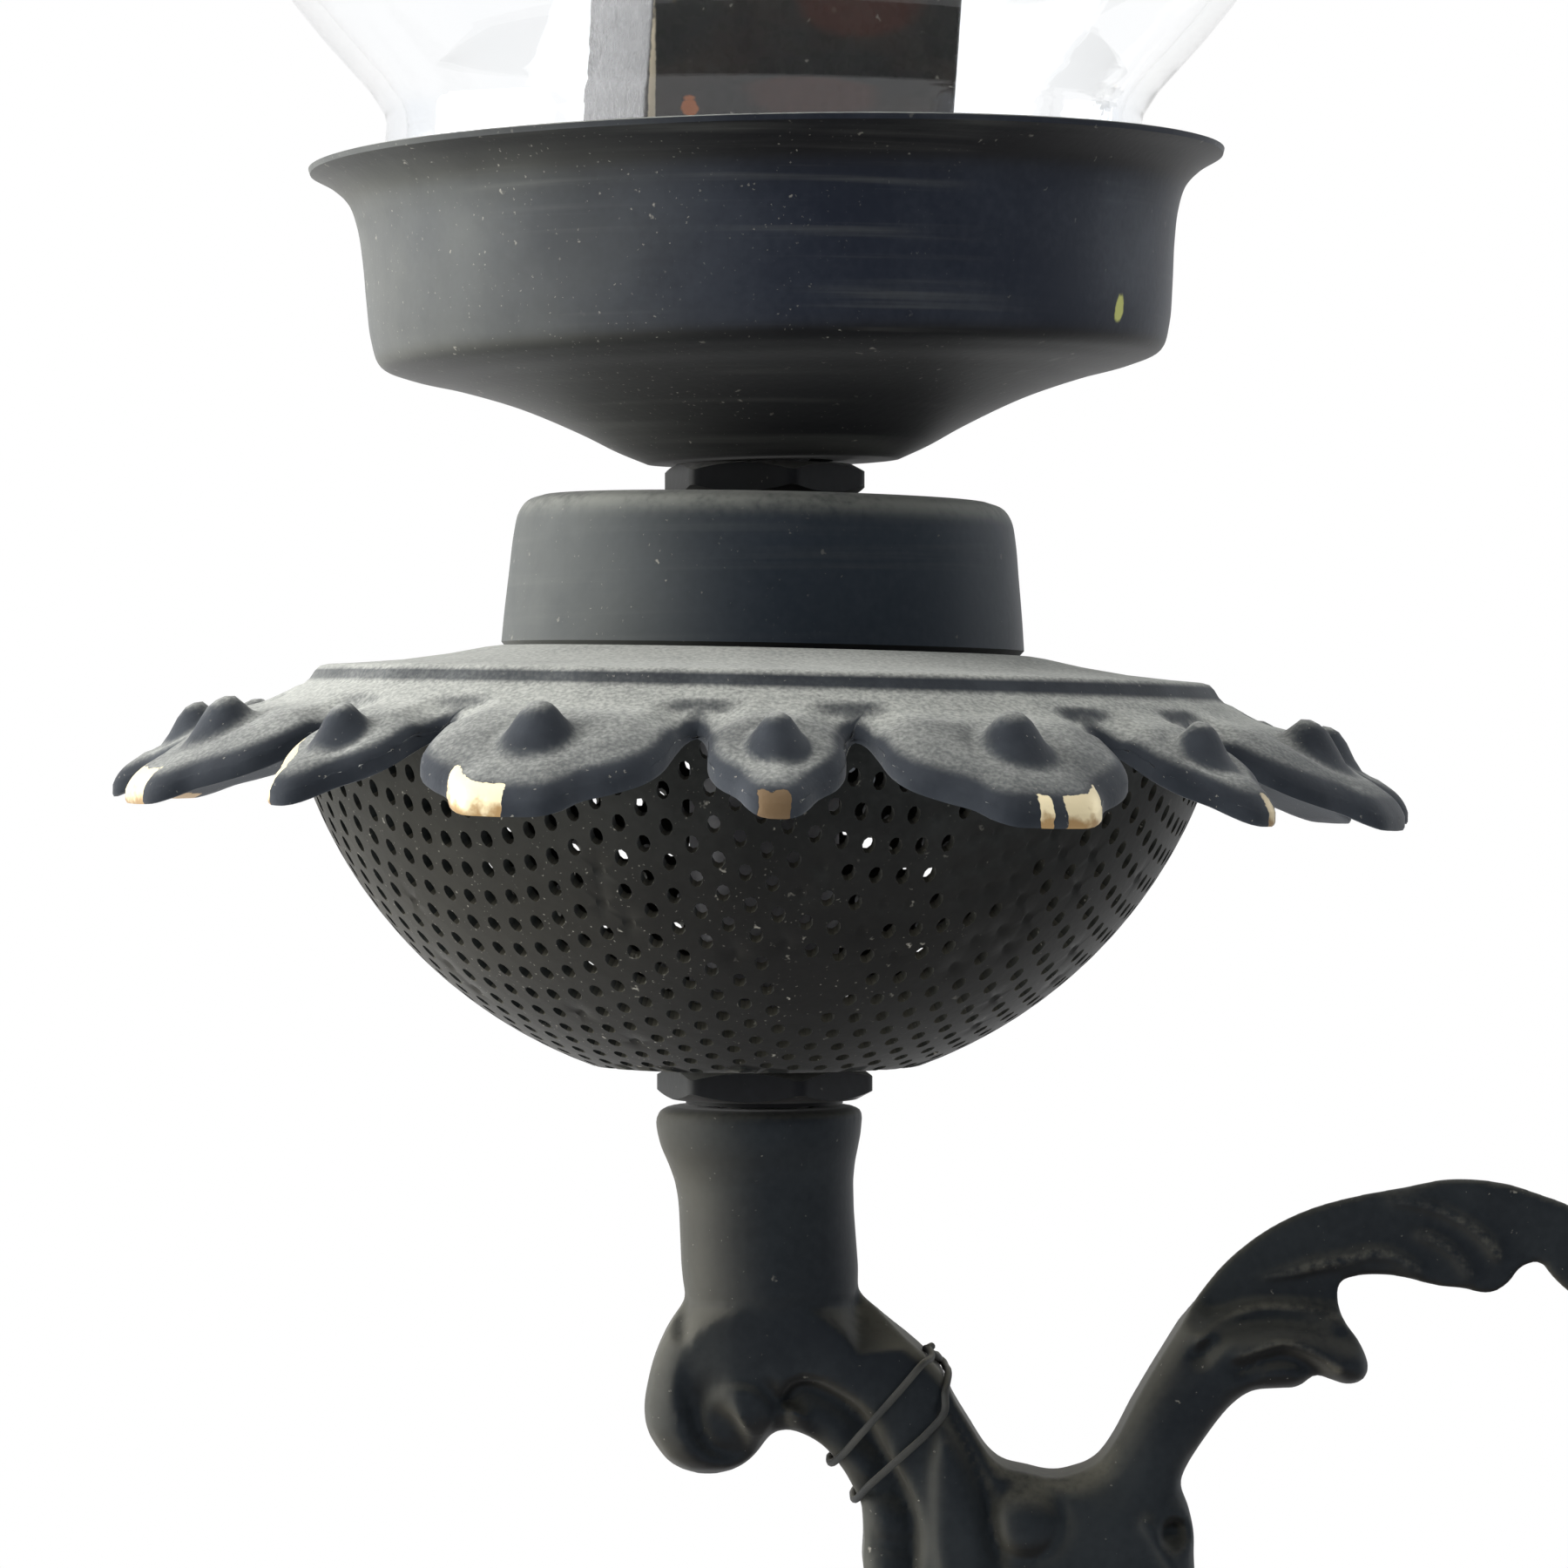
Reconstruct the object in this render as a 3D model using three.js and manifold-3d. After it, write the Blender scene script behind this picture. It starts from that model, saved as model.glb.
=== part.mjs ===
// A three-armed hanging lamp, in millimetres, with +Z up and the ceiling at zero.
// Each cast arm carries a socket, and a stack of loose pieces stands on it round a threaded tube:
// lock nut, perforated bowl, spacer tube, leaf plate, cap, neck nut, gallery, lampholder and globe.

import * as THREE from 'three';
import { mergeVertices } from 'three/addons/utils/BufferGeometryUtils.js';
import Module from 'manifold-3d';

const wasm = await Module();
wasm.setup();

// Gaps and overruns that every piece shares.
const seatGap = 0.3;
const fuse = 1;
const cutOver = 2;

// The lamp as a whole.
const armCount = 3;
const armReach = 200;
const armDrop = 71.4;

// Threaded tube and rod, both of the common 10 mm lamp thread.
const tubeDiameter = 10;
const tubeBore = 7.6;
const tubeIntoSocket = 14;
const tubeIntoHolder = 9;
const tubeHoleRadius = tubeDiameter / 2 + seatGap;

// Ceiling bar, canopy and the loop that hangs from them.
const barLength = 84;
const barWidth = 18;
const barThickness = 3;
const barHoleDiameter = 5;
const barHoleSpacing = 60;
const barBossRadius = 8.5;
const barBossHeight = 10;
const canopyRadius = 54;
const canopyDepth = 30;
const canopyFootRadius = 12;
const canopyWall = 1.2;
const shoulderRadius = 8.5;
const shoulderThickness = 4;
const loopRadius = 10;
const loopWire = 5;

// Chain.
const linkCount = 5;
const linkWire = 4;
const linkEndRadius = 7;
const linkLength = 44;

// Column, hub, cover and finial.
const upperColumnLength = 104;
const lowerColumnLength = 82;
const columnRadius = 17;
const hubFlat = 24;
const hubHeight = 34;
const hubWall = 3;
const coverRadius = 27;
const coverDepth = 20;
const coverWall = 1.6;
const finialLength = 38;
const finialRadius = 11;
const rodIntoEnds = 10;

// Screw that holds each arm to the hub.
const screwDiameter = 4;
const screwHeadRadius = 3.8;
const screwHeadHeight = 2.6;
const screwIntoArm = 12;

// Socket on the arm.
const socketRimRadius = 11.2;
const socketWaistRadius = 9.2;
const socketHeight = 19.4;
const socketRimHeight = 2.6;
const socketOverrun = 4;

// Scroll, stem and leaf of the cast arm.
const scrollHeight = 19.3;
const scrollDepth = 15;
const stemWidth = 13;
const stemDepth = 12;
const leafSpan = 65;
const leafRootAcross = 34;
const leafRootBelow = 47.4;
const flangeRadius = 11;
const flangeThickness = 4;

// Tie wire, two turns round one arm.
const tieDiameter = 0.8;
const tieTurns = 2;
const tieStand = 0.35;

// Lock nut under the bowl.
const nutAcrossFlats = 20.4;
const nutHeight = 3.3;
const nutCollarRadius = 8.3;
const nutCollarHeight = 0.5;
const nutTurn = 41;

// Perforated bowl and the spacer tube in it.
const bowlRadius = 50.6;
const bowlFlatRadius = 15.9;
const bowlHeight = 36.1;
const bowlWall = 1;
const spacerRadius = 7.9;
const spacerWall = 1.2;

// Leaf plate.
const plateTipRadius = 69.8;
const plateRootRadius = 49.5;
const lobeFall = 10;
const lobeThickness = 2.6;
const plateWall = 1.6;
const plateCrownRise = 4.9;
const plateShelfRise = 1.4;
const lobePairs = 8;
const lobeTurn = 1.3;
const knobCircleRadius = 60.3;
const largeKnobRadius = 3.1;
const smallKnobRadius = 2.5;
const knobHeight = 2.2;

// Cap over the plate.
const capRadius = 27.7;
const capTopRadius = 26.4;
const capHeight = 15.7;
const capEdgeRound = 2.6;
const capWall = 1.2;

// Neck nut under the gallery.
const neckRadius = 11.2;
const neckHeight = 3.3;

// Gallery.
const galleryFootRadius = 13.7;
const galleryWallRadius = 42.9;
const galleryLipRadius = 48.3;
const galleryPanHeight = 11;
const galleryWallHeight = 20.4;
const galleryWall = 0.8;

// Globe of clear glass.
const fitterRadius = 40;
const fitterHeight = 27;
const globeRadius = 62;
const globeMouthRadius = 30;
const glassWall = 2.2;

// Square sleeve that stands in the gallery.
const sleeveSide = 32.7;
const sleeveHeight = 62;
const sleeveWall = 1.5;
const sleeveTurn = 13.8;
const sleeveLean = 4;

// Lampholder and bulb.
const holderRadius = 11.5;
const holderHeight = 50;
const holderWall = 1.6;
const holderFloor = 9;
const bulbCapRadius = 7;
const bulbCapLength = 24;
const bulbRadius = 17.5;
const bulbGlassHeight = 74;

// How finely round pieces are divided.
const wideSegments = 16;
const middleSegments = 10;
const smallSegments = 8;

// Levels of the stack on each arm, measured up from the top of the socket.
const bowlUnderside = seatGap + nutCollarHeight + nutHeight + seatGap;
const bowlCentre = bowlUnderside + Math.sqrt(bowlRadius ** 2 - bowlFlatRadius ** 2);
const bowlRimTop = bowlUnderside + bowlHeight;
const bowlRimRadius = Math.sqrt(bowlRadius ** 2 - (bowlCentre - bowlRimTop) ** 2);
const lobeSlope = lobeFall / (plateTipRadius - plateRootRadius);
const plateRimLevel = bowlRimTop + seatGap + lobeThickness;
const plateRootLevel = plateRimLevel + lobeSlope * (bowlRimRadius - plateRootRadius);
const plateCrownLevel = plateRootLevel + plateCrownRise;
const capBottom = plateCrownLevel + seatGap;
const capTop = capBottom + capHeight;
const neckBottom = capTop + seatGap;
const galleryUnderside = neckBottom + neckHeight + seatGap;
const holderBottom = galleryUnderside + galleryWall + seatGap;
const holderTop = holderBottom + holderHeight;

// Levels of the middle of the lamp, measured from the ceiling.
const shankTop = -barThickness / 2 - seatGap;
const shoulderTop = -canopyDepth - seatGap;
const ceilingLoopCentre = shoulderTop - shoulderThickness - loopRadius - loopWire / 2 + fuse;
const ceilingLoopBottom = ceilingLoopCentre - loopRadius;
const linkSpan = linkLength - linkWire;
const firstLinkTop = ceilingLoopBottom + (loopWire + linkWire) / 2 + seatGap;
const linkPitch = linkSpan - linkWire - seatGap;
const lastLinkBottom = firstLinkTop - linkPitch * (linkCount - 1) - linkSpan;
const columnLoopTop = lastLinkBottom + (loopWire + linkWire) / 2 + seatGap;
const columnLoopCentre = columnLoopTop - loopRadius;
const columnShoulderTop = columnLoopCentre - loopRadius - loopWire / 2 + fuse;
const columnShoulderHeight = rodIntoEnds + shoulderThickness;
const columnTop = columnShoulderTop - columnShoulderHeight - seatGap;
const columnJoint = columnTop - upperColumnLength;
const hubTop = columnJoint - seatGap - lowerColumnLength - seatGap;
const hubCentre = hubTop - hubHeight / 2;
const hubBottom = hubTop - hubHeight;
const finialTop = hubBottom - seatGap - coverDepth - seatGap;
const socketLevel = hubCentre + armDrop;

// Finishes.
const paint = { color: 0x2b2e32, roughness: 0.55, metalness: 0.25 };
const nutPaint = { color: 0x1b1c1f, roughness: 0.45, metalness: 0.3 };
const dustyPaint = { color: 0x54554f, roughness: 0.85, metalness: 0.1 };
const steel = { color: 0x8d8f92, roughness: 0.4, metalness: 0.9 };
const brass = { color: 0xa8883f, roughness: 0.45, metalness: 0.85 };
const clearGlass = { color: 0xdfe9ee, roughness: 0.05, metalness: 0 };
const lacquer = { color: 0x1d1412, roughness: 0.2, metalness: 0 };
const porcelain = { color: 0xd8d4c8, roughness: 0.35, metalness: 0 };
const bulbGlass = { color: 0xf1f0ea, roughness: 0.2, metalness: 0 };

const lamp = new THREE.Group();

function named(name, geometry, finish, parent = lamp) {
  const mesh = new THREE.Mesh(geometry, new THREE.MeshStandardMaterial(finish));
  mesh.name = name;
  parent.add(mesh);
  return mesh;
}

// A closed mesh as a solid that can be joined and cut.
function solidOf(geometry) {
  const loose = geometry.index ? geometry.toNonIndexed() : geometry;
  const bare = new THREE.BufferGeometry();
  bare.setAttribute('position', loose.getAttribute('position'));
  const merged = mergeVertices(bare);
  const vertProperties = merged.attributes.position.array;
  const triVerts = new Uint32Array(merged.index.array);
  return new wasm.Manifold(new wasm.Mesh({ numProp: 3, vertProperties, triVerts }));
}

function geometryOf(solid) {
  const mesh = solid.getMesh();
  const geometry = new THREE.BufferGeometry();
  geometry.setAttribute('position', new THREE.BufferAttribute(mesh.vertProperties, 3));
  geometry.setIndex(new THREE.BufferAttribute(mesh.triVerts, 1));
  return geometry;
}

const joined = (first, ...rest) => rest.reduce((sum, next) => sum.add(next), first);

// A turned piece about +Z from a closed outline of [radius, height] points.
function turned(outline, segments) {
  const points = outline.map(([radius, height]) => new THREE.Vector2(radius, height));
  if (THREE.ShapeUtils.area(points) < 0) points.reverse();
  if (points[0].x > 0) points.push(points[0].clone());
  return new THREE.LatheGeometry(points, segments).rotateX(Math.PI / 2);
}

// The closed outline of a sheet: one face, and the same face again a wall away to its left.
function sheetOutline(face, wall) {
  const points = face.map(([radius, height]) => new THREE.Vector2(radius, height));
  const other = points.map((point, index) => {
    const before = points[Math.max(index - 1, 0)];
    const after = points[Math.min(index + 1, points.length - 1)];
    const into = point.equals(before) ? after.clone().sub(point) : point.clone().sub(before);
    const out = point.equals(after) ? into.clone() : after.clone().sub(point);
    const along = into.normalize().add(out.normalize()).normalize();
    const stretch = wall / Math.max(along.dot(out), 0.5);
    return [point.x - along.y * stretch, point.y + along.x * stretch];
  });
  return [...face, ...other.reverse()];
}

// A ring of [radius, bottom, top], as a washer, tube or collar.
function ring(inner, outer, bottom, top, segments) {
  const outline = [
    [inner, bottom],
    [outer, bottom],
    [outer, top],
    [inner, top],
  ];
  return turned(outline, segments);
}

// A prism with flats, its first flat facing +X, between two levels.
function prism(flat, sides, bottom, top) {
  const corner = flat / Math.cos(Math.PI / sides);
  const shape = new THREE.Shape();
  for (let side = 0; side < sides; side += 1) {
    const angle = ((side + 0.5) / sides) * 2 * Math.PI;
    const place = [corner * Math.cos(angle), corner * Math.sin(angle)];
    if (side === 0) shape.moveTo(...place);
    else shape.lineTo(...place);
  }
  shape.closePath();
  const settings = { depth: top - bottom, bevelEnabled: false };
  return new THREE.ExtrudeGeometry(shape, settings).translate(0, 0, bottom);
}

// A bar whose middle runs through stations in the X-Z plane, each with its half width and half depth.
function taperedBar(stations, stepsEach, sides) {
  const places = new THREE.CatmullRomCurve3(stations.map((s) => new THREE.Vector3(s.x, 0, s.z)));
  const sizes = new THREE.CatmullRomCurve3(stations.map((s) => new THREE.Vector3(s.wide, s.deep, 0)));
  const steps = stepsEach * (stations.length - 1);
  const corners = [];
  for (let step = 0; step <= steps; step += 1) {
    const centre = places.getPoint(step / steps);
    const along = places.getTangent(step / steps);
    const across = new THREE.Vector3(-along.z, 0, along.x);
    const size = sizes.getPoint(step / steps);
    for (let side = 0; side < sides; side += 1) {
      const angle = ((side + 0.5) / sides) * 2 * Math.PI;
      const corner = centre.clone().addScaledVector(across, size.x * Math.cos(angle));
      corner.y -= size.y * Math.sin(angle);
      corners.push(corner);
    }
  }
  const faces = [];
  const add = (...indices) => faces.push(...indices);
  for (let step = 0; step < steps; step += 1) {
    for (let side = 0; side < sides; side += 1) {
      const next = (side + 1) % sides;
      const low = step * sides;
      const high = low + sides;
      add(low + side, low + next, high + next);
      add(low + side, high + next, high + side);
    }
  }
  const last = steps * sides;
  for (let side = 1; side < sides - 1; side += 1) {
    add(0, side + 1, side);
    add(last, last + side, last + side + 1);
  }
  const geometry = new THREE.BufferGeometry().setFromPoints(corners);
  geometry.setIndex(faces);
  return geometry;
}

// A ring of wire in the X-Z plane, stretched by a straight length between its two halves.
function wireLoop(radius, wire, straight, segments) {
  const geometry = new THREE.TorusGeometry(radius, wire / 2, 6, segments);
  geometry.rotateZ(Math.PI / segments).rotateX(Math.PI / 2);
  const place = geometry.attributes.position;
  for (let index = 0; index < place.count; index += 1) {
    const side = ringSide(index, segments);
    place.setZ(index, place.getZ(index) + (side * straight) / 2);
  }
  return geometry;
}

// Which half of a wire ring a vertex belongs to: 1 for the upper one, -1 for the lower one.
function ringSide(index, segments) {
  const turn = (((index % (segments + 1)) + 0.5) / segments) % 1;
  return turn < 0.5 ? 1 : -1;
}

// Ceiling bar with its two screw holes, and a threaded boss below it for the loop's shank.
function ceilingBar() {
  const block = new THREE.BoxGeometry(barLength, barWidth, barThickness);
  block.translate(0, 0, -barThickness / 2);
  const bossBottom = -barThickness - barBossHeight;
  const boss = round(barBossRadius, bossBottom, -barThickness / 2);
  const thread = round(tubeHoleRadius, bossBottom - cutOver, shankTop + seatGap);
  const screwHole = (across) => {
    const drill = round(barHoleDiameter / 2, -barThickness - cutOver, cutOver);
    return solidOf(drill.translate(across, 0, 0));
  };
  return geometryOf(
    solidOf(block)
      .add(solidOf(boss))
      .subtract(solidOf(thread))
      .subtract(screwHole(-barHoleSpacing / 2))
      .subtract(screwHole(barHoleSpacing / 2)),
  );
}

// A solid round bar about +Z between two levels.
function round(radius, bottom, top) {
  const outline = [
    [0, bottom],
    [radius, bottom],
    [radius, top],
    [0, top],
  ];
  return turned(outline, smallSegments);
}

// Canopy: a pressed bell that is open towards the ceiling.
const canopyShares = [
  [0, 1],
  [0.2, 0.94],
  [0.45, 0.62],
  [0.84, 0.38],
  [1, 0.12],
  [1, 0],
];

function canopy() {
  const face = canopyShares.map(([across, down]) => [
    canopyFootRadius + (canopyRadius - canopyFootRadius) * across,
    -canopyDepth * down,
  ]);
  return turned(sheetOutline([[tubeHoleRadius, -canopyDepth], ...face], canopyWall), wideSegments);
}

// A loop with a shoulder and a shank above or below it.
function loopWithShank(centre, shankOutline) {
  const eye = wireLoop(loopRadius, loopWire, 0, middleSegments).translate(0, 0, centre);
  return geometryOf(joined(solidOf(eye), solidOf(turned(shankOutline, smallSegments))));
}

function ceilingLoop() {
  return loopWithShank(ceilingLoopCentre, [
    [0, shoulderTop - shoulderThickness],
    [shoulderRadius, shoulderTop - shoulderThickness],
    [shoulderRadius, shoulderTop],
    [tubeDiameter / 2, shoulderTop],
    [tubeDiameter / 2, shankTop],
    [0, shankTop],
  ]);
}

function columnLoop() {
  const bottom = columnShoulderTop - columnShoulderHeight;
  return loopWithShank(columnLoopCentre, [
    [tubeHoleRadius, bottom],
    [shoulderRadius + tubeDiameter / 4, bottom],
    [shoulderRadius, columnShoulderTop - shoulderThickness],
    [shoulderRadius, columnShoulderTop],
    [0, columnShoulderTop],
    [0, bottom + rodIntoEnds + seatGap],
    [tubeHoleRadius, bottom + rodIntoEnds + seatGap],
  ]);
}

// Turned column pieces, as shares of the column's radius and of their own length from the top.
const upperColumnShares = [
  [0.62, 0],
  [0.62, 0.05],
  [0.44, 0.09],
  [0.46, 0.36],
  [0.74, 0.43],
  [0.46, 0.5],
  [0.62, 0.62],
  [1, 0.8],
  [0.94, 0.9],
  [0.6, 1],
];
const lowerColumnShares = [
  [0.75, 0],
  [0.75, 0.08],
  [0.5, 0.14],
  [0.6, 0.32],
  [1.15, 0.54],
  [1.22, 0.7],
  [0.75, 0.86],
  [1.2, 0.92],
  [1.2, 1],
];

function columnPiece(shares, top, length) {
  const outline = shares.map(([out, down]) => [columnRadius * out, top - length * down]);
  outline.push([tubeHoleRadius, top - length], [tubeHoleRadius, top]);
  return turned(outline, middleSegments);
}

// Hub: a six-sided cup, open below, with a hole for the rod and one for each arm's screw.
function hub() {
  const outside = solidOf(prism(hubFlat, 6, hubBottom, hubTop));
  const inside = solidOf(prism(hubFlat - hubWall, 6, hubBottom - cutOver, hubTop - hubWall));
  const rodHole = solidOf(round(tubeHoleRadius, hubBottom, hubTop + cutOver));
  let body = outside.subtract(inside).subtract(rodHole);
  for (let arm = 0; arm < armCount; arm += 1) {
    const drill = round(screwDiameter / 2 + seatGap, 0, hubFlat + cutOver);
    drill.rotateY(-Math.PI / 2).rotateZ(armAngle(arm)).translate(0, 0, hubCentre);
    body = body.subtract(solidOf(drill));
  }
  return geometryOf(body);
}

const armAngle = (arm) => (arm / armCount) * 2 * Math.PI;

// Bottom cover: a turned dish under the hub.
const coverShares = [
  [1, 0],
  [1, 0.12],
  [0.94, 0.42],
  [0.72, 0.72],
  [0.42, 0.92],
  [0.3, 1],
];

function cover() {
  const top = hubBottom - seatGap;
  const face = coverShares.map(([out, down]) => [coverRadius * out, top - coverDepth * down]);
  face.push([tubeHoleRadius, top - coverDepth]);
  return turned(sheetOutline(face, -coverWall), middleSegments);
}

const finialShares = [
  [0.78, 0],
  [0.78, 0.1],
  [0.62, 0.16],
  [1, 0.4],
  [0.8, 0.62],
  [0.36, 0.74],
  [0.48, 0.86],
  [0, 1],
];

function finial() {
  const outline = finialShares.map(([out, down]) => [finialRadius * out, finialTop - finialLength * down]);
  const deep = finialTop - rodIntoEnds - seatGap;
  outline.push([0, deep], [tubeHoleRadius, deep], [tubeHoleRadius, finialTop]);
  return turned(outline, middleSegments);
}

function rod() {
  const bottom = finialTop - rodIntoEnds;
  const top = columnShoulderTop - columnShoulderHeight + rodIntoEnds;
  return ring(tubeBore / 2, tubeDiameter / 2, bottom, top, smallSegments);
}

// Socket of the arm, with its flared rim, waist and a bore for the threaded tube.
const socketShares = [
  [0, 0.12],
  [0.4, 0.24],
  [1, 0.6],
];

function socket() {
  const waist = socketShares.map(([inward, down]) => [
    socketRimRadius - (socketRimRadius - socketWaistRadius) * inward,
    -socketHeight * down,
  ]);
  const edge = socketRimHeight * 0.4;
  const floor = -tubeIntoSocket - seatGap;
  return turned(
    [
      [tubeHoleRadius, 0],
      [socketRimRadius - edge, 0],
      [socketRimRadius, -edge],
      ...waist,
      [socketWaistRadius, -socketHeight - socketOverrun],
      [0, -socketHeight - socketOverrun],
      [0, floor],
      [tubeHoleRadius, floor],
    ],
    middleSegments,
  );
}

// Scroll stations from the junction up over the eye, as shares of the scroll's height from the socket's foot.
const scrollShares = [
  [1.25, -1.5, 0.72, 0.92],
  [0.86, -0.98, 0.47, 1],
  [0.545, -0.545, 0.405, 1],
  [0.08, -0.25, 0.26, 1],
  [-0.34, -0.3, 0.155, 0.86],
  [-0.534, -0.58, 0.12, 0.76],
  [-0.461, -0.845, 0.11, 0.7],
  [-0.27, -0.915, 0.08, 0.62],
  [-0.12, -0.855, 0.062, 0.54],
  [-0.03, -0.74, 0.052, 0.48],
];
const eyeShare = [-0.16, -0.658, 0.2];
const webShare = [-0.22, -0.6, 0.34];

function scrollStation([across, up, wide, deep]) {
  return {
    x: scrollHeight * across,
    z: -socketHeight + scrollHeight * up,
    wide: scrollHeight * wide,
    deep: (scrollDepth / 2) * deep,
  };
}

// Stem stations: share of the way to the hub, share of the arm's drop, width and depth shares.
const stemShares = [
  [0, 0.53, 0.6, 1.1],
  [0.058, 0.692, 1.25, 1.15],
  [0.12, 0.9, 0.75, 1.1],
  [0.22, 1.12, 0.58, 1],
  [0.384, 1.29, 0.5, 1],
  [0.573, 1.3, 0.47, 1],
  [0.762, 1.17, 0.48, 1],
  [0.9, 1.04, 0.52, 1],
  [0.985, 1, 0.6, 1.1],
];
const armEnd = armReach - hubFlat - seatGap;

function stemStation([along, down, wide, deep]) {
  const start = scrollHeight * scrollShares[1][0];
  return {
    x: start + (armEnd - start) * along,
    z: -armDrop * down,
    wide: stemWidth * wide,
    deep: (stemDepth / 2) * deep,
  };
}

// Leaf stations as shares of the leaf's span from its root.
const leafShares = [
  [0.02, 0, 0.19, 0.09],
  [0.1, 0.177, 0.07, 0.08],
  [0.177, 0.292, 0.068, 0.08],
  [0.254, 0.385, 0.08, 0.085],
  [0.377, 0.489, 0.066, 0.085],
  [0.511, 0.523, 0.072, 0.085],
  [0.671, 0.517, 0.083, 0.08],
  [0.785, 0.494, 0.074, 0.075],
  [0.923, 0.4, 0.065, 0.07],
  [1, 0.246, 0.055, 0.062],
  [0.97, 0.098, 0.046, 0.055],
  [0.854, 0.046, 0.04, 0.05],
  [0.77, 0.114, 0.036, 0.046],
  [0.8, 0.175, 0.034, 0.042],
];
const leafLobeShares = [
  [0.26, 0.41, 0.055, 0.05],
  [0.346, 0.342, 0.046, 0.045],
  [0.42, 0.308, 0.03, 0.035],
  [0.45, 0.298, 0.012, 0.02],
];

function leafStation([across, up, wide, deep]) {
  return {
    x: leafRootAcross + leafSpan * across,
    z: -leafRootBelow + leafSpan * up,
    wide: leafSpan * wide,
    deep: leafSpan * deep,
  };
}

// A short round button across the arm, for the scroll's eye and web.
function button([across, up, size], halfDepth) {
  const radius = scrollHeight * size;
  const outline = [
    [0, -halfDepth],
    [radius * 0.7, -halfDepth],
    [radius, -halfDepth * 0.7],
    [radius, halfDepth * 0.7],
    [radius * 0.7, halfDepth],
    [0, halfDepth],
  ];
  const place = scrollStation([across, up, 0, 0]);
  return solidOf(turned(outline, smallSegments).rotateX(Math.PI / 2).translate(place.x, 0, place.z));
}

function armCasting() {
  const bars = [
    taperedBar(scrollShares.map(scrollStation), 2, 6),
    taperedBar(stemShares.map(stemStation), 1, 6),
    taperedBar(leafShares.map(leafStation), 1, 6),
    taperedBar(leafLobeShares.map(leafStation), 1, 6),
  ];
  const flange = round(flangeRadius, armEnd - flangeThickness, armEnd);
  const drill = round(screwDiameter / 2 + seatGap, armEnd - screwIntoArm - seatGap, armEnd + cutOver);
  const turnedParts = [flange, drill].map((part) => part.rotateY(Math.PI / 2).translate(0, 0, -armDrop));
  const boreFloor = -tubeIntoSocket - seatGap;
  const bore = solidOf(round(tubeHoleRadius, boreFloor, cutOver));
  return geometryOf(
    joined(
      solidOf(socket()),
      ...bars.map(solidOf),
      button(eyeShare, (scrollDepth / 2) * 0.92),
      button(webShare, (scrollDepth / 2) * 0.55),
      solidOf(turnedParts[0]),
    )
      .subtract(solidOf(turnedParts[1]))
      .subtract(bore),
  );
}

// Screw from inside the hub into the arm's flange.
function armScrew() {
  const head = armReach - hubFlat + hubWall + seatGap;
  const outline = [
    [0, armEnd - screwIntoArm],
    [screwDiameter / 2, armEnd - screwIntoArm],
    [screwDiameter / 2, head],
    [screwHeadRadius, head],
    [screwHeadRadius, head + screwHeadHeight],
    [0, head + screwHeadHeight],
  ];
  return turned(outline, smallSegments).rotateY(Math.PI / 2).translate(0, 0, -armDrop);
}

// Tie wire: one unbroken wire that winds round the scroll's bar between two of its stations.
const tieStartShare = 0.135;
const tieEndShare = 0.195;

function tieWire() {
  const stations = scrollShares.map(scrollStation);
  const places = new THREE.CatmullRomCurve3(stations.map((s) => new THREE.Vector3(s.x, 0, s.z)));
  const sizes = new THREE.CatmullRomCurve3(stations.map((s) => new THREE.Vector3(s.wide, s.deep, 0)));
  const stand = tieStand + tieDiameter / 2;
  const count = tieTurns * 24;
  const route = [];
  for (let step = 0; step <= count; step += 1) {
    const share = tieEndShare - (step / count) * (tieEndShare - tieStartShare);
    const centre = places.getPoint(share);
    const along = places.getTangent(share);
    const size = sizes.getPoint(share);
    const angle = (step / 24) * 2 * Math.PI;
    const across = new THREE.Vector3(-along.z, 0, along.x);
    centre.addScaledVector(across, (size.x + stand) * Math.cos(angle));
    centre.y -= (size.y + stand) * Math.sin(angle);
    route.push(centre);
  }
  let least = Infinity;
  route.forEach((point, index) => {
    for (let other = index + 12; other < route.length; other += 1) {
      least = Math.min(least, point.distanceTo(route[other]) - tieDiameter);
    }
  });
  console.log(`tie wire: least gap to itself ${least.toFixed(2)} mm`);
  const section = new THREE.Shape().absarc(0, 0, tieDiameter / 2, 0, 2 * Math.PI);
  const extrudePath = new THREE.CatmullRomCurve3(route);
  return new THREE.ExtrudeGeometry(section, { steps: count, curveSegments: 3, extrudePath });
}

// Lock nut with a round collar under it.
function lockNut() {
  const bottom = seatGap + nutCollarHeight;
  const body = prism(nutAcrossFlats / 2, 6, bottom, bottom + nutHeight);
  body.rotateZ(THREE.MathUtils.degToRad(90 - nutTurn));
  const collar = round(nutCollarRadius, seatGap, bottom + nutHeight / 2);
  const bore = round(tubeHoleRadius, 0, bowlUnderside);
  return geometryOf(solidOf(body).add(solidOf(collar)).subtract(solidOf(bore)));
}

// Bowl: a round-bottomed sheet with a flat foot. Its many small holes are left to the finish.
function bowl() {
  const start = Math.asin(bowlFlatRadius / bowlRadius);
  const end = Math.acos((bowlCentre - bowlRimTop) / bowlRadius);
  const steps = 4;
  const face = [[tubeHoleRadius, bowlUnderside]];
  for (let step = 0; step <= steps; step += 1) {
    const angle = start + ((end - start) * step) / steps;
    face.push([bowlRadius * Math.sin(angle), bowlCentre - bowlRadius * Math.cos(angle)]);
  }
  return turned(sheetOutline(face, bowlWall), wideSegments);
}

function spacer() {
  const bottom = bowlUnderside + bowlWall + seatGap;
  const top = plateCrownLevel - plateWall - seatGap;
  return ring(spacerRadius - spacerWall, spacerRadius, bottom, top, smallSegments);
}

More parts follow.
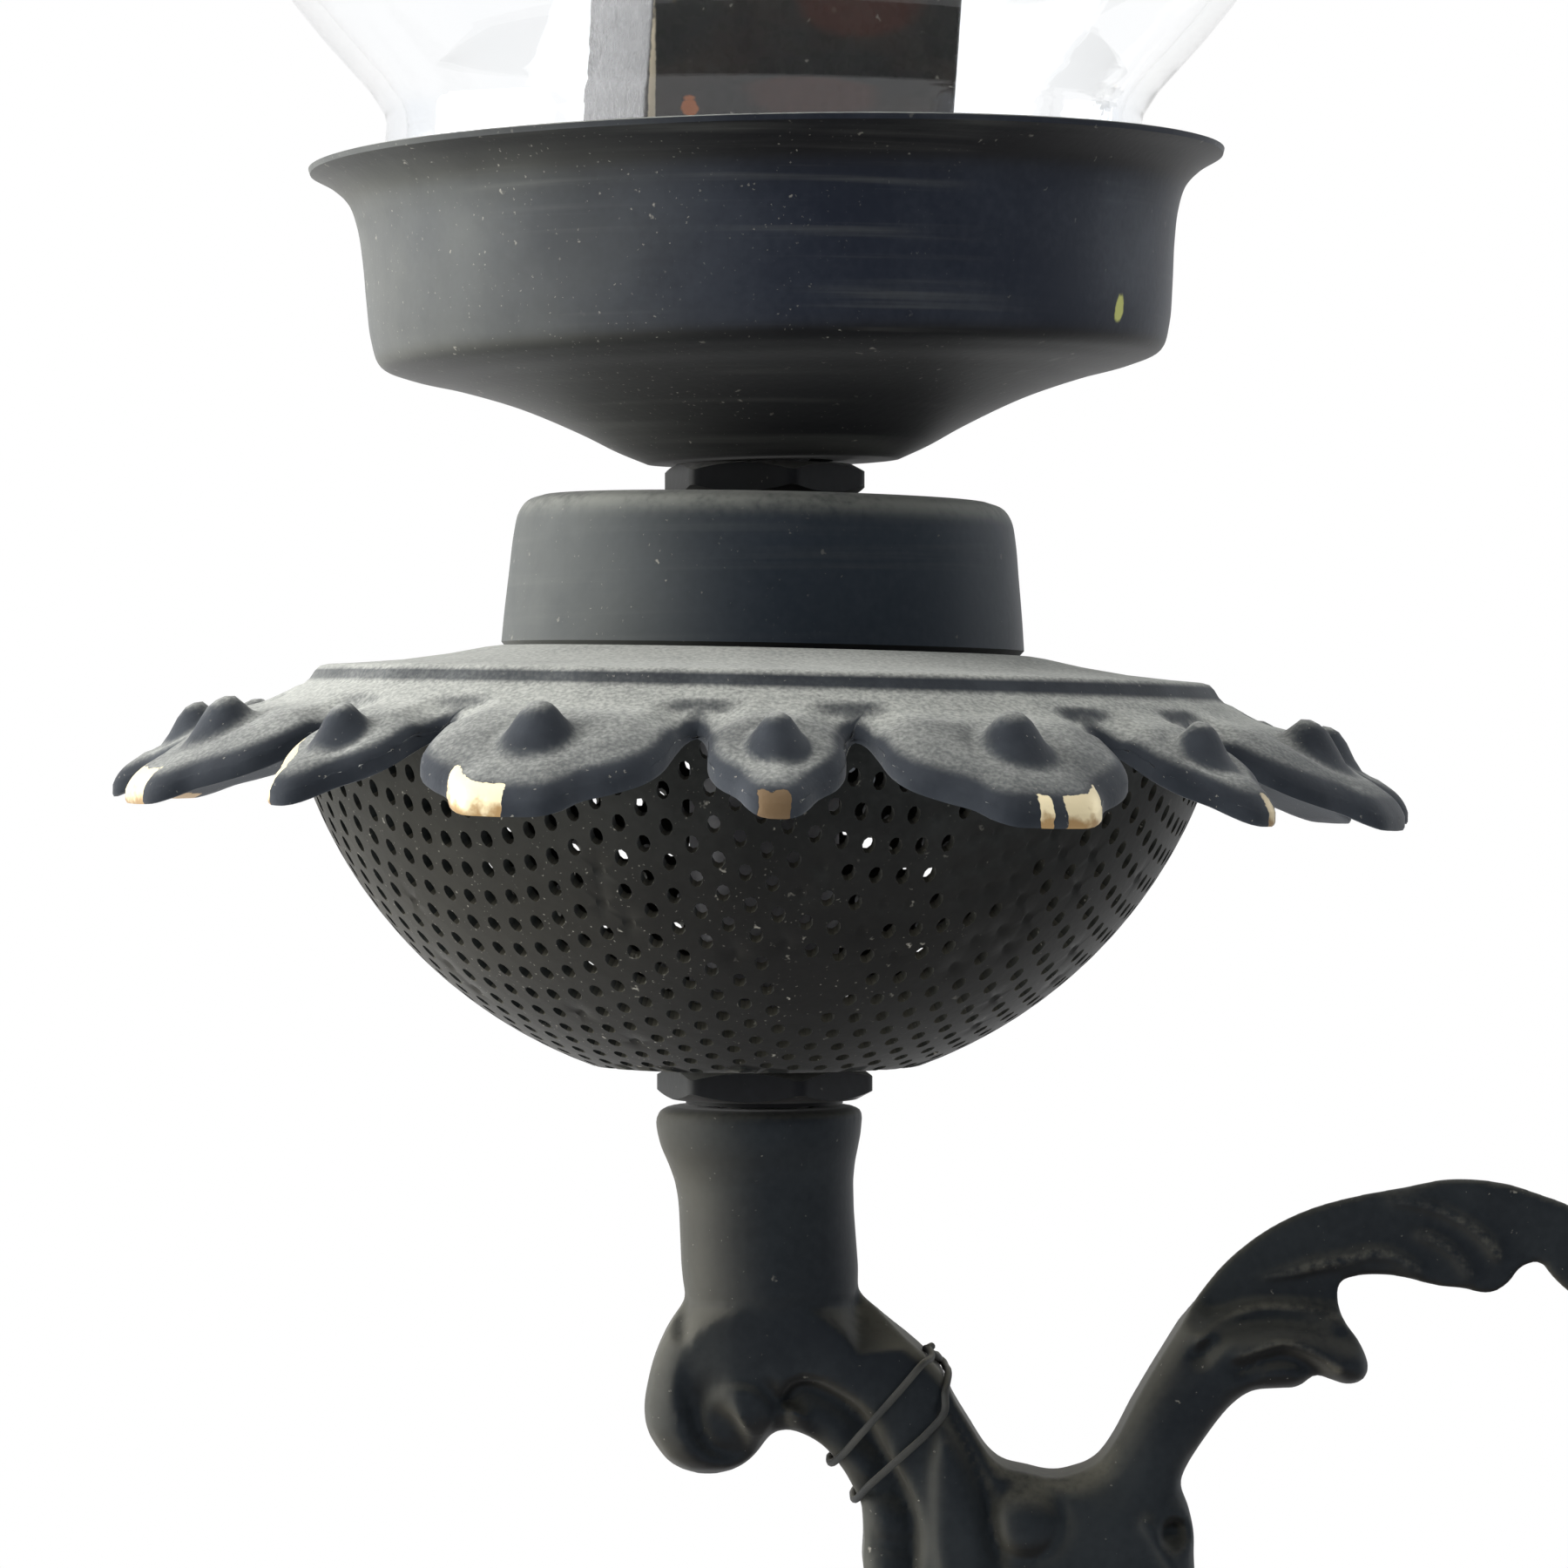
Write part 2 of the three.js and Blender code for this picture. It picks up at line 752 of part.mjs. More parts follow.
const plateTopAt = (radius) => plateRootLevel - lobeSlope * (radius - plateRootRadius);

// Half outlines of the two kinds of lobe: share of the lobe pitch, share of the way from notch to tip.
const notchShare = 0.2;
const notchRadius = plateRootRadius + (plateTipRadius - plateRootRadius) * notchShare;
const largeLobeShares = [
  [0.6, 0],
  [0.53, 0.42],
  [0.38, 0.65],
  [0.2, 0.97],
];
const smallLobeShares = [
  [0.28, 0.42],
  [0.1, 0.92],
];

const lobeStart = -Math.PI / 2 + THREE.MathUtils.degToRad(lobeTurn);

function lobeOutline() {
  const pitch = Math.PI / lobePairs;
  const shape = new THREE.Shape();
  let first = true;
  const point = (angle, share) => {
    const radius = notchRadius + (plateTipRadius - notchRadius) * share;
    const place = [radius * Math.cos(angle), radius * Math.sin(angle)];
    if (first) shape.moveTo(...place);
    else shape.lineTo(...place);
    first = false;
  };
  for (let pair = 0; pair < lobePairs; pair += 1) {
    [smallLobeShares, largeLobeShares].forEach((shares, kind) => {
      const middle = lobeStart + (pair * 2 + kind) * pitch;
      shares.forEach(([turn, share]) => point(middle - turn * pitch, share));
      [...shares].reverse().forEach(([turn, share]) => point(middle + turn * pitch, share));
    });
  }
  shape.closePath();
  const start = -Math.PI / 2;
  const hole = new THREE.Path().absarc(0, 0, notchRadius - fuse, start, start - 2 * Math.PI, true);
  shape.holes.push(hole);
  return shape;
}

// A round knob on a lobe.
function knob(radius, angle) {
  const level = plateTopAt(knobCircleRadius);
  const outline = [
    [0, level - fuse],
    [radius, level - fuse],
    [radius * 0.7, level + knobHeight * 0.8],
    [0, level + knobHeight],
  ];
  return solidOf(turned(outline, 5).translate(knobCircleRadius, 0, 0).rotateZ(angle));
}

// Leaf plate: a turned dish, a ring of lobes that falls away from it and a knob on every lobe.
function leafPlate() {
  const edge = notchRadius - fuse / 4;
  const crown = [
    [tubeHoleRadius, plateCrownLevel],
    [capRadius + seatGap, plateCrownLevel],
    [plateRootRadius - cutOver, plateRootLevel + plateShelfRise],
  ];
  const under = crown.map(([radius, level]) => [radius, level - plateWall]).reverse();
  const skin = lobeThickness / 10;
  const skirt = [plateRootRadius, edge].map((radius) => [radius, plateTopAt(radius) - skin]);
  const skirtUnder = skirt.map(([radius, level]) => [radius, level - lobeThickness + 2 * skin]);
  skirtUnder.reverse();
  const lobes = new THREE.ExtrudeGeometry(lobeOutline(), {
    depth: lobeThickness,
    bevelEnabled: false,
    curveSegments: wideSegments / 2,
  });
  const place = lobes.attributes.position;
  for (let index = 0; index < place.count; index += 1) {
    const radius = Math.hypot(place.getX(index), place.getY(index));
    place.setZ(index, place.getZ(index) - lobeThickness + plateTopAt(radius));
  }
  const knobs = [];
  for (let lobe = 0; lobe < lobePairs * 2; lobe += 1) {
    const radius = lobe % 2 ? largeKnobRadius : smallKnobRadius;
    knobs.push(knob(radius, lobeStart + (lobe * Math.PI) / lobePairs));
  }
  const dish = solidOf(turned([...crown, ...skirt, ...skirtUnder, ...under], wideSegments));
  return geometryOf(joined(dish, solidOf(lobes), ...knobs));
}

function cap() {
  const face = [
    [tubeHoleRadius, capTop],
    [capTopRadius - capEdgeRound, capTop],
    [capTopRadius, capTop - capEdgeRound],
    [capRadius, capBottom],
  ];
  return turned(sheetOutline(face, -capWall), wideSegments);
}

function neckNut() {
  const edge = neckHeight * 0.2;
  const outline = [
    [tubeHoleRadius, neckBottom],
    [neckRadius, neckBottom],
    [neckRadius, neckBottom + neckHeight - edge],
    [neckRadius - edge, neckBottom + neckHeight],
    [tubeHoleRadius, neckBottom + neckHeight],
  ];
  return turned(outline, smallSegments);
}

// Gallery face, first the pan from its foot to the wall, then the wall up to the flared lip.
const panShares = [
  [0, 0],
  [0.24, 0.3],
  [0.55, 0.62],
  [0.92, 0.87],
  [1, 1],
];
const wallShares = [
  [0.06, 0.6],
  [0.29, 0.83],
  [1, 1],
];

function galleryFace() {
  const pan = panShares.map(([out, up]) => [
    galleryFootRadius + (galleryWallRadius - galleryFootRadius) * out,
    galleryUnderside + galleryPanHeight * up,
  ]);
  const wall = wallShares.map(([out, up]) => [
    galleryWallRadius + (galleryLipRadius - galleryWallRadius) * out,
    galleryUnderside + galleryPanHeight + galleryWallHeight * up,
  ]);
  return [[tubeHoleRadius, galleryUnderside], ...pan, ...wall];
}

const galleryOutline = sheetOutline(galleryFace(), galleryWall);

// Height of the gallery's inner face at a radius inside its pan.
function galleryFloorAt(radius) {
  const inner = galleryOutline.slice(galleryOutline.length / 2).reverse();
  const index = inner.findIndex((point) => point[0] >= radius);
  const [low, high] = [inner[index - 1], inner[index]];
  return low[1] + ((high[1] - low[1]) * (radius - low[0])) / (high[0] - low[0]);
}

// Globe: an upright fitter neck, a round belly and an open mouth.
function globe() {
  const bottom = galleryFloorAt(fitterRadius - glassWall / 2) + seatGap + galleryWall;
  const lowAngle = Math.asin(fitterRadius / globeRadius);
  const highAngle = Math.PI - Math.asin(globeMouthRadius / globeRadius);
  const centre = bottom + fitterHeight + globeRadius * Math.cos(lowAngle);
  const steps = 7;
  const face = [[fitterRadius, bottom]];
  for (let step = 0; step <= steps; step += 1) {
    const angle = lowAngle + ((highAngle - lowAngle) * step) / steps;
    face.push([globeRadius * Math.sin(angle), centre - globeRadius * Math.cos(angle)]);
  }
  return turned(sheetOutline(face, glassWall), wideSegments);
}

// Sleeve: a square tube that stands on its four corners in the pan, turned and leaning a little.
function sleeve() {
  const half = sleeveSide / 2;
  const square = (side) => [
    [-side, -side],
    [side, -side],
    [side, side],
    [-side, side],
  ];
  const shape = new THREE.Shape(square(half).map((corner) => new THREE.Vector2(...corner)));
  const hole = square(half - sleeveWall).map((corner) => new THREE.Vector2(...corner));
  shape.holes.push(new THREE.Path(hole.reverse()));
  const tube = new THREE.ExtrudeGeometry(shape, { depth: sleeveHeight, bevelEnabled: false });
  const turn = THREE.MathUtils.degToRad(sleeveTurn);
  const lean = THREE.MathUtils.degToRad(sleeveLean);
  tube.rotateZ(turn).rotateY(lean).translate((-sleeveHeight / 2) * Math.sin(lean), 0, 0);
  const place = tube.attributes.position;
  let lift = -Infinity;
  for (let index = 0; index < place.count; index += 1) {
    const radius = Math.hypot(place.getX(index), place.getY(index));
    if (place.getZ(index) < sleeveHeight / 2) {
      lift = Math.max(lift, galleryFloorAt(radius) - place.getZ(index));
    }
  }
  return tube.translate(0, 0, lift + seatGap);
}

// Lampholder: a cup for the bulb's cap on a floor that the threaded tube enters.
function holder() {
  const inside = holderRadius - holderWall;
  const capBore = (bulbCapRadius + seatGap) / Math.cos(Math.PI / smallSegments);
  const edge = holderWall / 2;
  const outline = [
    [tubeHoleRadius, holderBottom],
    [holderRadius - edge, holderBottom],
    [holderRadius, holderBottom + edge],
    [holderRadius, holderTop],
    [capBore, holderTop],
    [capBore, holderTop - bulbCapLength],
    [inside, holderTop - bulbCapLength],
    [inside, holderBottom + holderFloor],
    [tubeHoleRadius, holderBottom + holderFloor],
  ];
  return turned(outline, smallSegments);
}

const bulbShares = [
  [0.5, 0.04],
  [0.66, 0.24],
  [1, 0.5],
  [0.9, 0.68],
  [0.52, 0.89],
  [0, 1],
];

function bulb() {
  const capBottomLevel = holderTop - bulbCapLength + seatGap;
  const outline = [
    [0, capBottomLevel],
    [bulbCapRadius * 0.5, capBottomLevel],
    [bulbCapRadius, capBottomLevel + bulbCapRadius * 0.4],
    [bulbCapRadius, holderTop + seatGap],
  ];
  bulbShares.forEach(([out, up]) => outline.push([bulbRadius * out, holderTop + seatGap + bulbGlassHeight * up]));
  return turned(outline, smallSegments);
}

function threadedTube() {
  const top = holderBottom + tubeIntoHolder - seatGap;
  return ring(tubeBore / 2, tubeDiameter / 2, -tubeIntoSocket, top, smallSegments);
}

// The middle of the lamp, from the ceiling down.
named('ceiling_bar', ceilingBar(), steel);
named('canopy', canopy(), paint);
named('ceiling_loop', ceilingLoop(), paint);
for (let link = 0; link < linkCount; link += 1) {
  const oval = wireLoop(linkEndRadius, linkWire, linkSpan - 2 * linkEndRadius, middleSegments);
  const middle = firstLinkTop - linkPitch * link - linkSpan / 2;
  if (link % 2 === 0) oval.rotateZ(Math.PI / 2);
  const mesh = named(`chain_link_${link + 1}`, oval, paint);
  mesh.position.z = middle;
}
const columnLoopMesh = named('column_loop', columnLoop(), paint);
columnLoopMesh.rotation.z = linkCount % 2 === 0 ? Math.PI / 2 : 0;
named('column_upper', columnPiece(upperColumnShares, columnTop, upperColumnLength), paint);
named('column_lower', columnPiece(lowerColumnShares, columnJoint - seatGap, lowerColumnLength), paint);
named('hub', hub(), paint);
named('hub_cover', cover(), paint);
named('finial', finial(), paint);
named('centre_rod', rod(), steel);

// The arms. The first one reaches towards -X.
const pieces = [
  ['arm', armCasting(), paint],
  ['arm_screw', armScrew(), steel],
  ['lock_nut', lockNut(), nutPaint],
  ['threaded_tube', threadedTube(), steel],
  ['bowl', bowl(), paint],
  ['spacer_tube', spacer(), steel],
  ['leaf_plate', leafPlate(), dustyPaint],
  ['cap', cap(), dustyPaint],
  ['neck_nut', neckNut(), paint],
  ['gallery', turned(galleryOutline, wideSegments), paint],
  ['sleeve', sleeve(), lacquer],
  ['lampholder', holder(), porcelain],
  ['bulb', bulb(), bulbGlass],
  ['globe', globe(), clearGlass],
];

for (let arm = 0; arm < armCount; arm += 1) {
  const branch = new THREE.Group();
  branch.rotation.z = armAngle(arm);
  const head = new THREE.Group();
  head.position.set(-armReach, 0, socketLevel);
  branch.add(head);
  lamp.add(branch);
  pieces.forEach(([name, geometry, finish]) => named(`${name}_${arm + 1}`, geometry.clone(), finish, head));
  if (arm === 0) named('tie_wire', tieWire(), brass, head);
}

export default lamp;
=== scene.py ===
# %% [markdown]
# # An old hanging lamp, dressed from its CAD frame
#
# The lamp hangs on a short chain from a bar on the ceiling. Three cast arms carry a stack of loose
# pieces each: nut, pierced bowl, leaf plate, cap, gallery and clear glass. The CAD model gives every
# piece its place and its joints. This lesson gives each piece the shape and the finish that the
# photograph shows: black paint, dust on whatever looks up, and brass where the paint is chipped.

import math
import random

import bmesh
import bpy
import numpy as np
from mathutils import Matrix, Vector, kdtree
from mathutils.geometry import delaunay_2d_cdt


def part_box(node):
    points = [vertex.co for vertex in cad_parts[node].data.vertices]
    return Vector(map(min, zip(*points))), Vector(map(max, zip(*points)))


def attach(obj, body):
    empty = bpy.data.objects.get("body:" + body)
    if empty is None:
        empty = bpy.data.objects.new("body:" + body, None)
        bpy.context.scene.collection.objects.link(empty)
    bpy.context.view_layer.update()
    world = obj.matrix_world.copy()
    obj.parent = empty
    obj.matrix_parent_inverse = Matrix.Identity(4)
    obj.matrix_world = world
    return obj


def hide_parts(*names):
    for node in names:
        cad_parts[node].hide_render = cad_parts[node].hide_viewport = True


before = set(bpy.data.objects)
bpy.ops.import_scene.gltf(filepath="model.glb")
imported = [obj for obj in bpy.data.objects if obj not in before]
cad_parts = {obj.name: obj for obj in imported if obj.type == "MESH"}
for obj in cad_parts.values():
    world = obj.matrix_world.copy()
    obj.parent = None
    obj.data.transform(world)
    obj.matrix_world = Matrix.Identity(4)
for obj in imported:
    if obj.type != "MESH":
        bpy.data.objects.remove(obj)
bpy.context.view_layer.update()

# %% [markdown]
# ## Working units and the place of an arm
#
# A maker measures a lamp in millimetres, so every shape below is written in millimetres and scaled
# once, when its mesh is made. The pieces of an arm are written in the arm's own frame: x runs from
# the light towards the hub, z is up, and zero is the centre of the socket's top. One matrix then
# carries a copy of a mesh to each of the three arms. The place is in the mesh itself, as it is in the
# CAD nodes, so a finish that follows the place is different on every arm.

# %% The arm's own frame
MM = 0.001
ARMS = 3
socket_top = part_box("arm_1")[1].z
reach = -sum(corner.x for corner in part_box("cap_1")) / 2


def seat(arm):
    turn = Matrix.Rotation(arm * 2 * math.pi / ARMS, 4, "Z")
    return turn @ Matrix.Translation((-reach, 0, socket_top))


def levels(node, zero=socket_top):
    """Bottom and top of a node in millimetres, measured from the socket's top or another level."""
    low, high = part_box(node)
    return (low.z - zero) / MM, (high.z - zero) / MM


print("reach", round(reach / MM, 1), "socket top", round(socket_top / MM, 1))

# %% [markdown]
# ## Camera, floor and light
#
# The photograph was taken with a long lens, level with the leaf plate and quite close, so the lens
# here is 136 mm on a 36 mm sensor. The background is plain white and the light comes from the sky
# behind and to the left, which turns dust on the left edges pale. A white world for camera, gloss
# and glass rays gives that background without putting more light on the paint.

# %% Camera
SENSOR = 36
camera_data = bpy.data.cameras.new("photo_camera")
camera_data.sensor_width = SENSOR
camera_data.lens = 136
camera_data.clip_start = 0.01
camera = bpy.data.objects.new("photo_camera", camera_data)
bpy.context.scene.collection.objects.link(camera)
camera.location = (-reach, -0.626, -0.3584)
yaw, pitch = math.radians(-0.19), math.radians(-0.42)
camera.rotation_euler = (math.radians(90) + pitch, 0, yaw)
bpy.context.scene.camera = camera


# %% Light boxes
def light_box(name, place, aim, size, watts, colour):
    data = bpy.data.lights.new(name, "AREA")
    data.shape = "RECTANGLE"
    data.size, data.size_y = size
    data.energy = watts
    data.color = colour
    lamp = bpy.data.objects.new(name, data)
    bpy.context.scene.collection.objects.link(lamp)
    lamp.location = place
    lamp.rotation_euler = (Vector(aim) - Vector(place)).to_track_quat("-Z", "Y").to_euler()
    return lamp


middle = (-0.2, 0, -0.38)
light_box("sky_left", (-1.6, 0.05, 0.05), middle, (1.3, 1.5), 31, (1.0, 0.99, 0.97))
light_box("sky_top", (-0.3, 0.3, 1.2), middle, (1.8, 1.8), 20, (1.0, 1.0, 1.0))
light_box("room_right", (1.5, 0.9, 0.2), middle, (0.9, 1.3), 14, (0.93, 0.97, 1.0))

# %% [markdown]
# ## Shader maths as Python
#
# A finish is a small calculation: how much the surface looks up, times how patchy the dust is. The
# node editor shows that as boxes and wires; here it is written as an expression. `Value` wraps one
# output socket, and adding or multiplying values adds the Math nodes. Every other node comes from
# one method of `Finish`, which takes the node's type, its settings and what goes into its sockets.


# %% Values and finishes
class Value:
    def __init__(self, finish, socket):
        self.finish, self.socket = finish, socket

    def math(self, operation, *others):
        settings = {"operation": operation}
        return self.finish.node("ShaderNodeMath", settings, dict(enumerate((self, *others))))

    def __add__(self, other):
        return self.math("ADD", other)

    def __sub__(self, other):
        return self.math("SUBTRACT", other)

    def __mul__(self, other):
        return self.math("MULTIPLY", other)

    def __truediv__(self, other):
        return self.math("DIVIDE", other)

    def __rsub__(self, other):
        return self * -1 + other

    __radd__ = __add__
    __rmul__ = __mul__

    def ramp(self, low, high):
        """0 below low, 1 above high and smooth between them. With low above high it falls."""
        sockets = {"Value": self, "From Min": low, "From Max": high}
        return self.finish.node("ShaderNodeMapRange", {"interpolation_type": "SMOOTHSTEP"}, sockets)


class Board:
    """A tree of nodes, for a finish or for the world."""

    def __init__(self, tree):
        self.tree = tree
        tree.nodes.clear()

    def node(self, kind, settings=None, sockets=None, out=0):
        made = self.tree.nodes.new(kind)
        for setting, value in (settings or {}).items():
            setattr(made, setting, value)
        for key, value in (sockets or {}).items():
            if isinstance(value, Value):
                self.tree.links.new(value.socket, made.inputs[key])
            elif isinstance(value, tuple) and made.inputs[key].type == "RGBA":
                made.inputs[key].default_value = (*value, 1)
            else:
                made.inputs[key].default_value = value
        return Value(self, made.outputs[out]) if made.outputs else made


class Finish(Board):
    def __init__(self, name):
        self.material = bpy.data.materials.new(name)
        self.material.use_nodes = True
        super().__init__(self.material.node_tree)
        self.place = self.node("ShaderNodeTexCoord", out="Object")
        normal = self.node("ShaderNodeTexCoord", out="Normal")
        self.up = self.node("ShaderNodeSeparateXYZ", {}, {0: normal}, 2)
        self.left = -1 * self.node("ShaderNodeSeparateXYZ", {}, {0: normal}, 0)

    def noise(self, size, detail=3, stretch=(1, 1, 1), seed=0.0):
        """Cloudy noise from 0 to 1 whose patches are about `size` millimetres across."""
        scale = tuple(part / (size * MM) for part in stretch)
        sockets = {"Location": (seed, seed * 2, seed * 3), "Scale": scale, "Vector": self.place}
        spot = self.node("ShaderNodeMapping", {}, sockets)
        return self.node("ShaderNodeTexNoise", {}, {"Vector": spot, "Scale": 1.0, "Detail": detail})

    def grains(self, size, share, seed=0.0):
        """Ragged specks of dust: one in each cell of `size` millimetres, of which a share is kept."""
        sockets = {"Location": (seed, seed, seed), "Scale": (1 / (size * MM),) * 3, "Vector": self.place}
        spot = self.node("ShaderNodeMapping", {}, sockets)
        ragged = self.node("ShaderNodeTexNoise", {}, {"Vector": spot, "Scale": 3.0, "Detail": 1.0}, "Color")
        pushed = {0: ragged, 1: (0.7, 0.7, 0.7), 2: spot}
        spot = self.node("ShaderNodeVectorMath", {"operation": "MULTIPLY_ADD"}, pushed)
        distance = self.node("ShaderNodeTexVoronoi", {}, {"Vector": spot, "Scale": 1.0})
        lot = self.node("ShaderNodeTexVoronoi", {}, {"Vector": spot, "Scale": 1.0}, "Color")
        drawn = self.node("ShaderNodeSeparateColor", {}, {0: lot})
        speck = 0.08 + 0.16 * self.node("ShaderNodeSeparateColor", {}, {0: lot}, "Green")
        return distance.ramp(speck, 0.05) * drawn.ramp(1 - share, 1.02 - share)

    def near(self, spot, size, ragged=0.0, squeeze=(1, 1, 1)):
        """1 close to a place in the first arm's frame and 0 beyond `size` millimetres from it."""
        centre = tuple(seat(0) @ (Vector(spot) * MM))
        offset = self.node("ShaderNodeVectorMath", {"operation": "SUBTRACT"}, {0: self.place, 1: centre})
        offset = self.node("ShaderNodeVectorMath", {"operation": "MULTIPLY"}, {0: offset, 1: squeeze})
        reach_out = self.node("ShaderNodeVectorMath", {"operation": "LENGTH"}, {0: offset}, "Value")
        if ragged:
            reach_out = reach_out + (self.noise(size * 0.9, 4, seed=1.9) - 0.5) * (ragged * MM)
        return reach_out.ramp(size * MM, size * 0.7 * MM)

    def mix(self, share, first, second):
        """The first colour where the share is 0 and the second where it is 1."""
        settings = {"data_type": "RGBA"}
        return self.node("ShaderNodeMix", settings, {0: share, 6: first, 7: second}, 2)

    def attribute(self, name):
        return self.node("ShaderNodeAttribute", {"attribute_name": name}, {}, "Fac")

    def bump(self, height, strength, depth):
        """A normal from a height, whose full range stands for `depth` millimetres."""
        sockets = {"Strength": strength, "Distance": depth * MM, "Height": height}
        return self.node("ShaderNodeBump", {}, sockets)

    def surface(self, sockets):
        shader = self.node("ShaderNodeBsdfPrincipled", {}, sockets)
        self.node("ShaderNodeOutputMaterial", {}, {"Surface": shader})
        return self.material


print("shader maths ready")

# %% [markdown]
# ## World and floor
#
# A world that is white only for camera, glossy and transmission rays shows the photograph's blank
# background behind the lamp and in its glass. The rays that light the paint see an overcast sky
# instead: bright overhead and to the left, and dark towards the ground. The floor lies well below
# the lamp, pale and plain, and catches its shadow. Gloss and glass see it as white as the world.

# %% World
SKY_DARK, SKY_BRIGHT = 0.10, 0.75
SKY_FROM = (-0.60, 0.25, 0.76)
world = bpy.data.worlds.new("white_room")
bpy.context.scene.world = world
bpy.context.scene.view_settings.view_transform = "Standard"
world.use_nodes = True
room = Board(world.node_tree)
seen, glossy, through = (
    room.node("ShaderNodeLightPath", out=ray)
    for ray in ("Is Camera Ray", "Is Glossy Ray", "Is Transmission Ray")
)
white = seen.math("MAXIMUM", glossy).math("MAXIMUM", through)
direction = room.node("ShaderNodeTexCoord", out="Generated")
both_ways = {0: direction, 1: SKY_FROM}
towards = room.node("ShaderNodeVectorMath", {"operation": "DOT_PRODUCT"}, both_ways, "Value")
soft = SKY_DARK + SKY_BRIGHT * towards.ramp(-0.5, 0.95)
strength = soft + (1 - soft) * white
sky = room.node("ShaderNodeBackground", {}, {"Color": (1.0, 1.0, 1.0), "Strength": strength})
room.node("ShaderNodeOutputWorld", {}, {"Surface": sky})

# %% Floor
FLOOR_LEVEL, FLOOR_RADIUS = -0.75, 2.0
bpy.ops.mesh.primitive_circle_add(vertices=96, radius=FLOOR_RADIUS, fill_type="NGON")
floor = bpy.context.object
floor.name = "floor"
floor.location.z = FLOOR_LEVEL
plain = Finish("floor_grey")
grey = plain.node("ShaderNodeBsdfPrincipled", {}, {"Base Color": (0.8, 0.8, 0.8), "Roughness": 0.9})
bright = plain.node("ShaderNodeEmission", {}, {"Color": (1.0, 1.0, 1.0), "Strength": 1.0})
in_glass = plain.node("ShaderNodeLightPath", out="Is Transmission Ray")
in_gloss = plain.node("ShaderNodeLightPath", out="Is Glossy Ray")
both = plain.node("ShaderNodeMixShader", {}, {0: in_glass.math("MAXIMUM", in_gloss), 1: grey, 2: bright})
plain.node("ShaderNodeOutputMaterial", {}, {"Surface": both})
floor.data.materials.append(plain.material)
print("floor", FLOOR_RADIUS, "m across the radius")

# %% [markdown]
# ## Mesh helpers
#
# Most of the lamp is turned on a lathe or pressed from sheet, so most pieces are a closed outline of
# (radius, height) points carried round an axis. A point may also be a function of the angle, which
# gives hexagon nuts from the same routine. Splines turn a few chosen points into a smooth line.

# %% Turning an outline
ROUND = 144


def turned(outline, steps=ROUND):
    """Points and faces of a closed outline carried round the z axis."""
    points, faces, rings = [], [], []
    angles = [step * 2 * math.pi / steps for step in range(steps)]
    for spot in outline:
        here = [spot(angle) if callable(spot) else spot for angle in angles]
        if here[0][0] < 1e-6:
            rings.append([len(points)] * steps)
            points.append((0, 0, here[0][1]))
            continue
        rings.append(range(len(points), len(points) + steps))
        points += [(r * math.cos(a), r * math.sin(a), z) for (r, z), a in zip(here, angles)]
    for ring, after in zip(rings, rings[1:] + rings[:1]):
        for step in range(steps):
            side = (step + 1) % steps
            face = list(dict.fromkeys((ring[step], ring[side], after[side], after[step])))
            if len(face) > 2:
                faces.append(face)
    return points, faces


def joined(*parts):
    """Several (points, faces) pairs as one."""
    points, faces = [], []
    for some, more in parts:
        faces += [[index + len(points) for index in face] for face in more]
        points += [tuple(point) for point in some]
    return points, faces


def moved(part, matrix):
    points, faces = part
    return [tuple(matrix @ Vector(point)) for point in points], faces


# %% Rounded corners, smooth lines and sheets
def rounded(corners, steps=5):
    """A closed outline from (x, z, radius) corners, each turned into an arc."""
    line = []
    for index, (x, z, radius) in enumerate(corners):
        here = Vector((x, z))
        back = Vector(corners[index - 1][:2]) - here
        ahead = Vector(corners[(index + 1) % len(corners)][:2]) - here
        if radius <= 0 or back.length < 1e-9 or ahead.length < 1e-9:
            line.append((x, z))
            continue
        cut = radius / math.tan(max(back.angle(ahead), 0.2) / 2)
        cut = min(cut, back.length * 0.49, ahead.length * 0.49)
        first, last = here + back.normalized() * cut, here + ahead.normalized() * cut
        for step in range(steps + 1):
            t = step / steps
            spot = first * (1 - t) ** 2 + here * (2 * t * (1 - t)) + last * t**2
            line.append((spot.x, spot.y))
    return line


def smooth_line(points, each=8, closed=False):
    """A line through all the points that keeps its pace between near and far ones."""
    p = [np.array(point, float) for point in points]
    count = len(p)
    line = []
    for i in range(count if closed else count - 1):
        b, c = p[i], p[(i + 1) % count]
        a = p[i - 1] if closed or i else 2 * b - c
        d = p[(i + 2) % count] if closed or i + 2 < count else 2 * c - b
        first, mid, last = (max(np.linalg.norm(n - m), 1e-9) ** 0.5 for m, n in ((a, b), (b, c), (c, d)))
        out = (c - b) / mid - (c - a) / (first + mid) + (b - a) / first
        into = (d - c) / last - (d - b) / (mid + last) + (c - b) / mid
        for step in range(each):
            t = step / each
            line.append(
                b * (2 * t**3 - 3 * t**2 + 1)
                + c * (3 * t**2 - 2 * t**3)
                + out * mid * (t**3 - 2 * t**2 + t)
                + into * mid * (t**3 - t**2)
            )
    return np.array(line if closed else line + [p[-1]])


def even_line(line, gap, closed=False):
    """The same line with its points an even distance apart."""
    line = np.array(line, float)
    loop = np.vstack([line, line[:1]]) if closed else line
    run = np.concatenate([[0], np.cumsum(np.linalg.norm(np.diff(loop, axis=0), axis=1))])
    count = max(int(round(run[-1] / gap)), 2)
    marks = np.linspace(0, run[-1], count + 1)
    even = np.stack([np.interp(marks, run, loop[:, axis]) for axis in range(line.shape[1])], axis=1)
    return even[:-1] if closed else even


